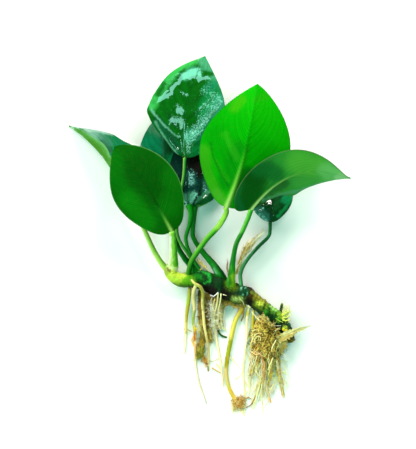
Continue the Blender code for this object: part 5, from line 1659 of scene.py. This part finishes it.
# fine rootlets between the old roots, and the strands of the sheath, as lobes
rootletBundles = (
    (
        64, 1.6, 1.3, ("#fff8d4", "#f0e4ac", "#e8d890", "#fffbe4"),
        (1.3, -30.5, 9, 0.9, -36.6, 6, 1.4, -42.7, 4, 2.4, -49.8, 2.4, 2.9, -53.9, 1.4),
    ),
    (
        40, 1.3, 0.8, ("#f0e4a0", "#a08438", "#5c4418", "#f4ecb8"),
        (-2.6, -30.6, 7.4, -2.1, -37.7, 5, -2.1, -43.7, 3.6, -2.6, -49.8, 2.6),
    ),
    (
        16, 1.0, 0.9, ("#f8f0c4", "#e0cc84"),
        (4.3, -30.5, 10, 4.8, -35.6, 6.6, 3.8, -40.7, 4.4, 2.9, -46.8, 2.6),
    ),
    (
        12, 0.9, 0.5, ("#c8a858", "#a08038", "#e8d898"),
        (10.2, -31.5, 8, 8.3, -34.6, 6.4, 5.3, -38.2, 4.6, 3.9, -42.8, 3),
    ),
    (
        14, 0.8, 0.5, ("#a8843c", "#d0a858", "#705020"),
        (-5.1, -57.8, 1.8, -3.6, -60.9, 1.4, -1.6, -64.9, 0.8),
    ),
)
bundleStrands("brown_rootlets", rootletBundles, "dryFibre", (0.09, 0.20), (0.5, 1.0))
sheathBundles = (
    (
        34, 1.1, 0.7, ("#d8c070", "#f4ecb8", "#b8983c", "#c8c850", "#fffbe0"),
        (12.2, -20.6, 9, 14.2, -15.2, 9.4, 16.1, -10.8, 9.8, 18.1, -7.3, 10),
    ),
    (
        30, 1.5, 1.3, ("#c8a858", "#a08040", "#e0cc84", "#f0e4a8"),
        (16.1, -10.8, 9.8, 18.1, -7.8, 10.2, 20, -5.3, 10.2, 22, -3.9, 9.8),
    ),
    (
        26, 1.4, 0.5, ("#f4ecc0", "#fffbe4", "#d8c88c"),
        (19.1, -6.3, 10, 21.5, -3.4, 9.8, 24.5, -0.4, 9.4, 27.5, 2.5, 8.6),
    ),
    (
        16, 0.7, 0.5, ("#f4f4d0", "#d8d070", "#c8b468"),
        (-7, -12.2, 12.6, -4.6, -14.1, 12.8, -2.1, -16.6, 12.4, -0.6, -18.6, 12),
    ),
    (10, 0.4, 0.3, ("#8c6c38", "#6c4c20", "#b09458"), (9.2, -20.5, 13.6, 8.4, -16.5, 15, 8.6, -11.6, 16.4)),
)
bundleStrands("dry_sheath_strands", sheathBundles, "dryFibre", (0.08, 0.18), (0.6, 1.0))
print("dry pieces made")


# floor, light and camera, in metres and watts; halfView is half the view's height, in mm, at the
# surface
studio = dict(
    floor="#f6f8f7", floorSize=3.0, floorGrain=0.01, floorGrainSize=40.0, floorCells=8, halfView=112.25,
    world=(0.5, 1.0, 0.85), worldStrength=0.02,
    lights=dict(
        lowWindow=dict(place=(0.0, 1.18, 0.55), size=(0.55, 0.45), watts=6.9, colour=(1.0, 0.93, 0.86)),
        rightWindow=dict(place=(0.46, 0.8, 0.92), size=(0.5, 0.45), watts=10.2, colour=(1.0, 0.93, 0.86)),
        leftWindow=dict(place=(-0.59, 0.7, 0.92), size=(0.75, 0.45), watts=12.0, colour=(1.0, 0.93, 0.86)),
        sideWindow=dict(place=(-1.02, -0.59, 0.55), size=(0.5, 0.45), watts=10.6, colour=(1.0, 0.93, 0.86)),
        ceiling=dict(place=(-0.02, -0.1, 1.38), size=(0.66, 0.86), watts=5.6, colour=(0.36, 1.0, 0.8)),
        backWall=dict(place=(-0.03, -0.8, 1.16), size=(0.66, 0.6), watts=3.6, colour=(0.36, 1.0, 0.8)),
    ),
)


def addFloor():
    # a wide level sheet of matt white board with a faint unevenness
    lines = studio["floorCells"] + 1
    side = np.linspace(-0.5, 0.5, lines) * studio["floorSize"]
    x, y = np.meshgrid(side, side, indexing="ij")
    index = np.arange(lines**2).reshape(lines, lines)
    quads = np.stack([index[:-1, :-1], index[1:, :-1], index[1:, 1:], index[:-1, 1:]], axis=-1)
    mesh = bpy.data.meshes.new("floor")
    mesh.from_pydata(np.stack([x, y, 0 * x], axis=-1).reshape(-1, 3), [], quads.reshape(-1, 4).tolist())
    finish, tree, skin = newFinish("mattBoard", dict(ior=1.4, specular=0.1))
    coords = addNode(tree, "ShaderNodeTexCoord").outputs["Object"]
    grain = noise(tree, coords, studio["floorGrainSize"])
    light = maths(tree, "MULTIPLY_ADD", grain, studio["floorGrain"], 1 - studio["floorGrain"] / 2)
    colour = scaled(tree, tuple(linearColour(studio["floor"])), light)
    tree.links.new(colour, skin.inputs["Base Color"])
    skin.inputs["Roughness"].default_value = 0.9
    mesh.materials.append(finish)
    floor = bpy.data.objects.new("floor", mesh)
    bpy.context.scene.collection.objects.link(floor)


def addLight(name, look):
    # a soft box turned towards the plant
    light = bpy.data.lights.new(name, "AREA")
    light.shape = "RECTANGLE"
    light.size, light.size_y = look["size"]
    light.energy = look["watts"]
    light.color = look["colour"]
    box = bpy.data.objects.new(name, light)
    place = np.array(look["place"])
    away = unit(place)
    tilt = math.acos(away[2])
    turn = math.atan2(away[1], away[0]) + math.pi / 2
    box.location = place
    box.rotation_euler = (tilt, 0, turn)
    bpy.context.scene.collection.objects.link(box)


def addCamera():
    # straight above the plant
    camera = bpy.data.cameras.new("camera")
    camera.lens = camera.sensor_width / 2 * eye[2] / studio["halfView"]
    camera.clip_start = 0.01
    lookout = bpy.data.objects.new("camera", camera)
    lookout.location = (eye + plantShift) * mm
    bpy.context.scene.collection.objects.link(lookout)
    bpy.context.scene.camera = lookout


addFloor()
for lightName, lightLook in studio["lights"].items():
    addLight(lightName, lightLook)
addCamera()
world = bpy.data.worlds.new("studio")
world.use_nodes = True
background = world.node_tree.nodes["Background"]
background.inputs["Color"].default_value = (*studio["world"], 1)
background.inputs["Strength"].default_value = studio["worldStrength"]
bpy.context.scene.world = world
bpy.context.scene.view_settings.view_transform = "Standard"
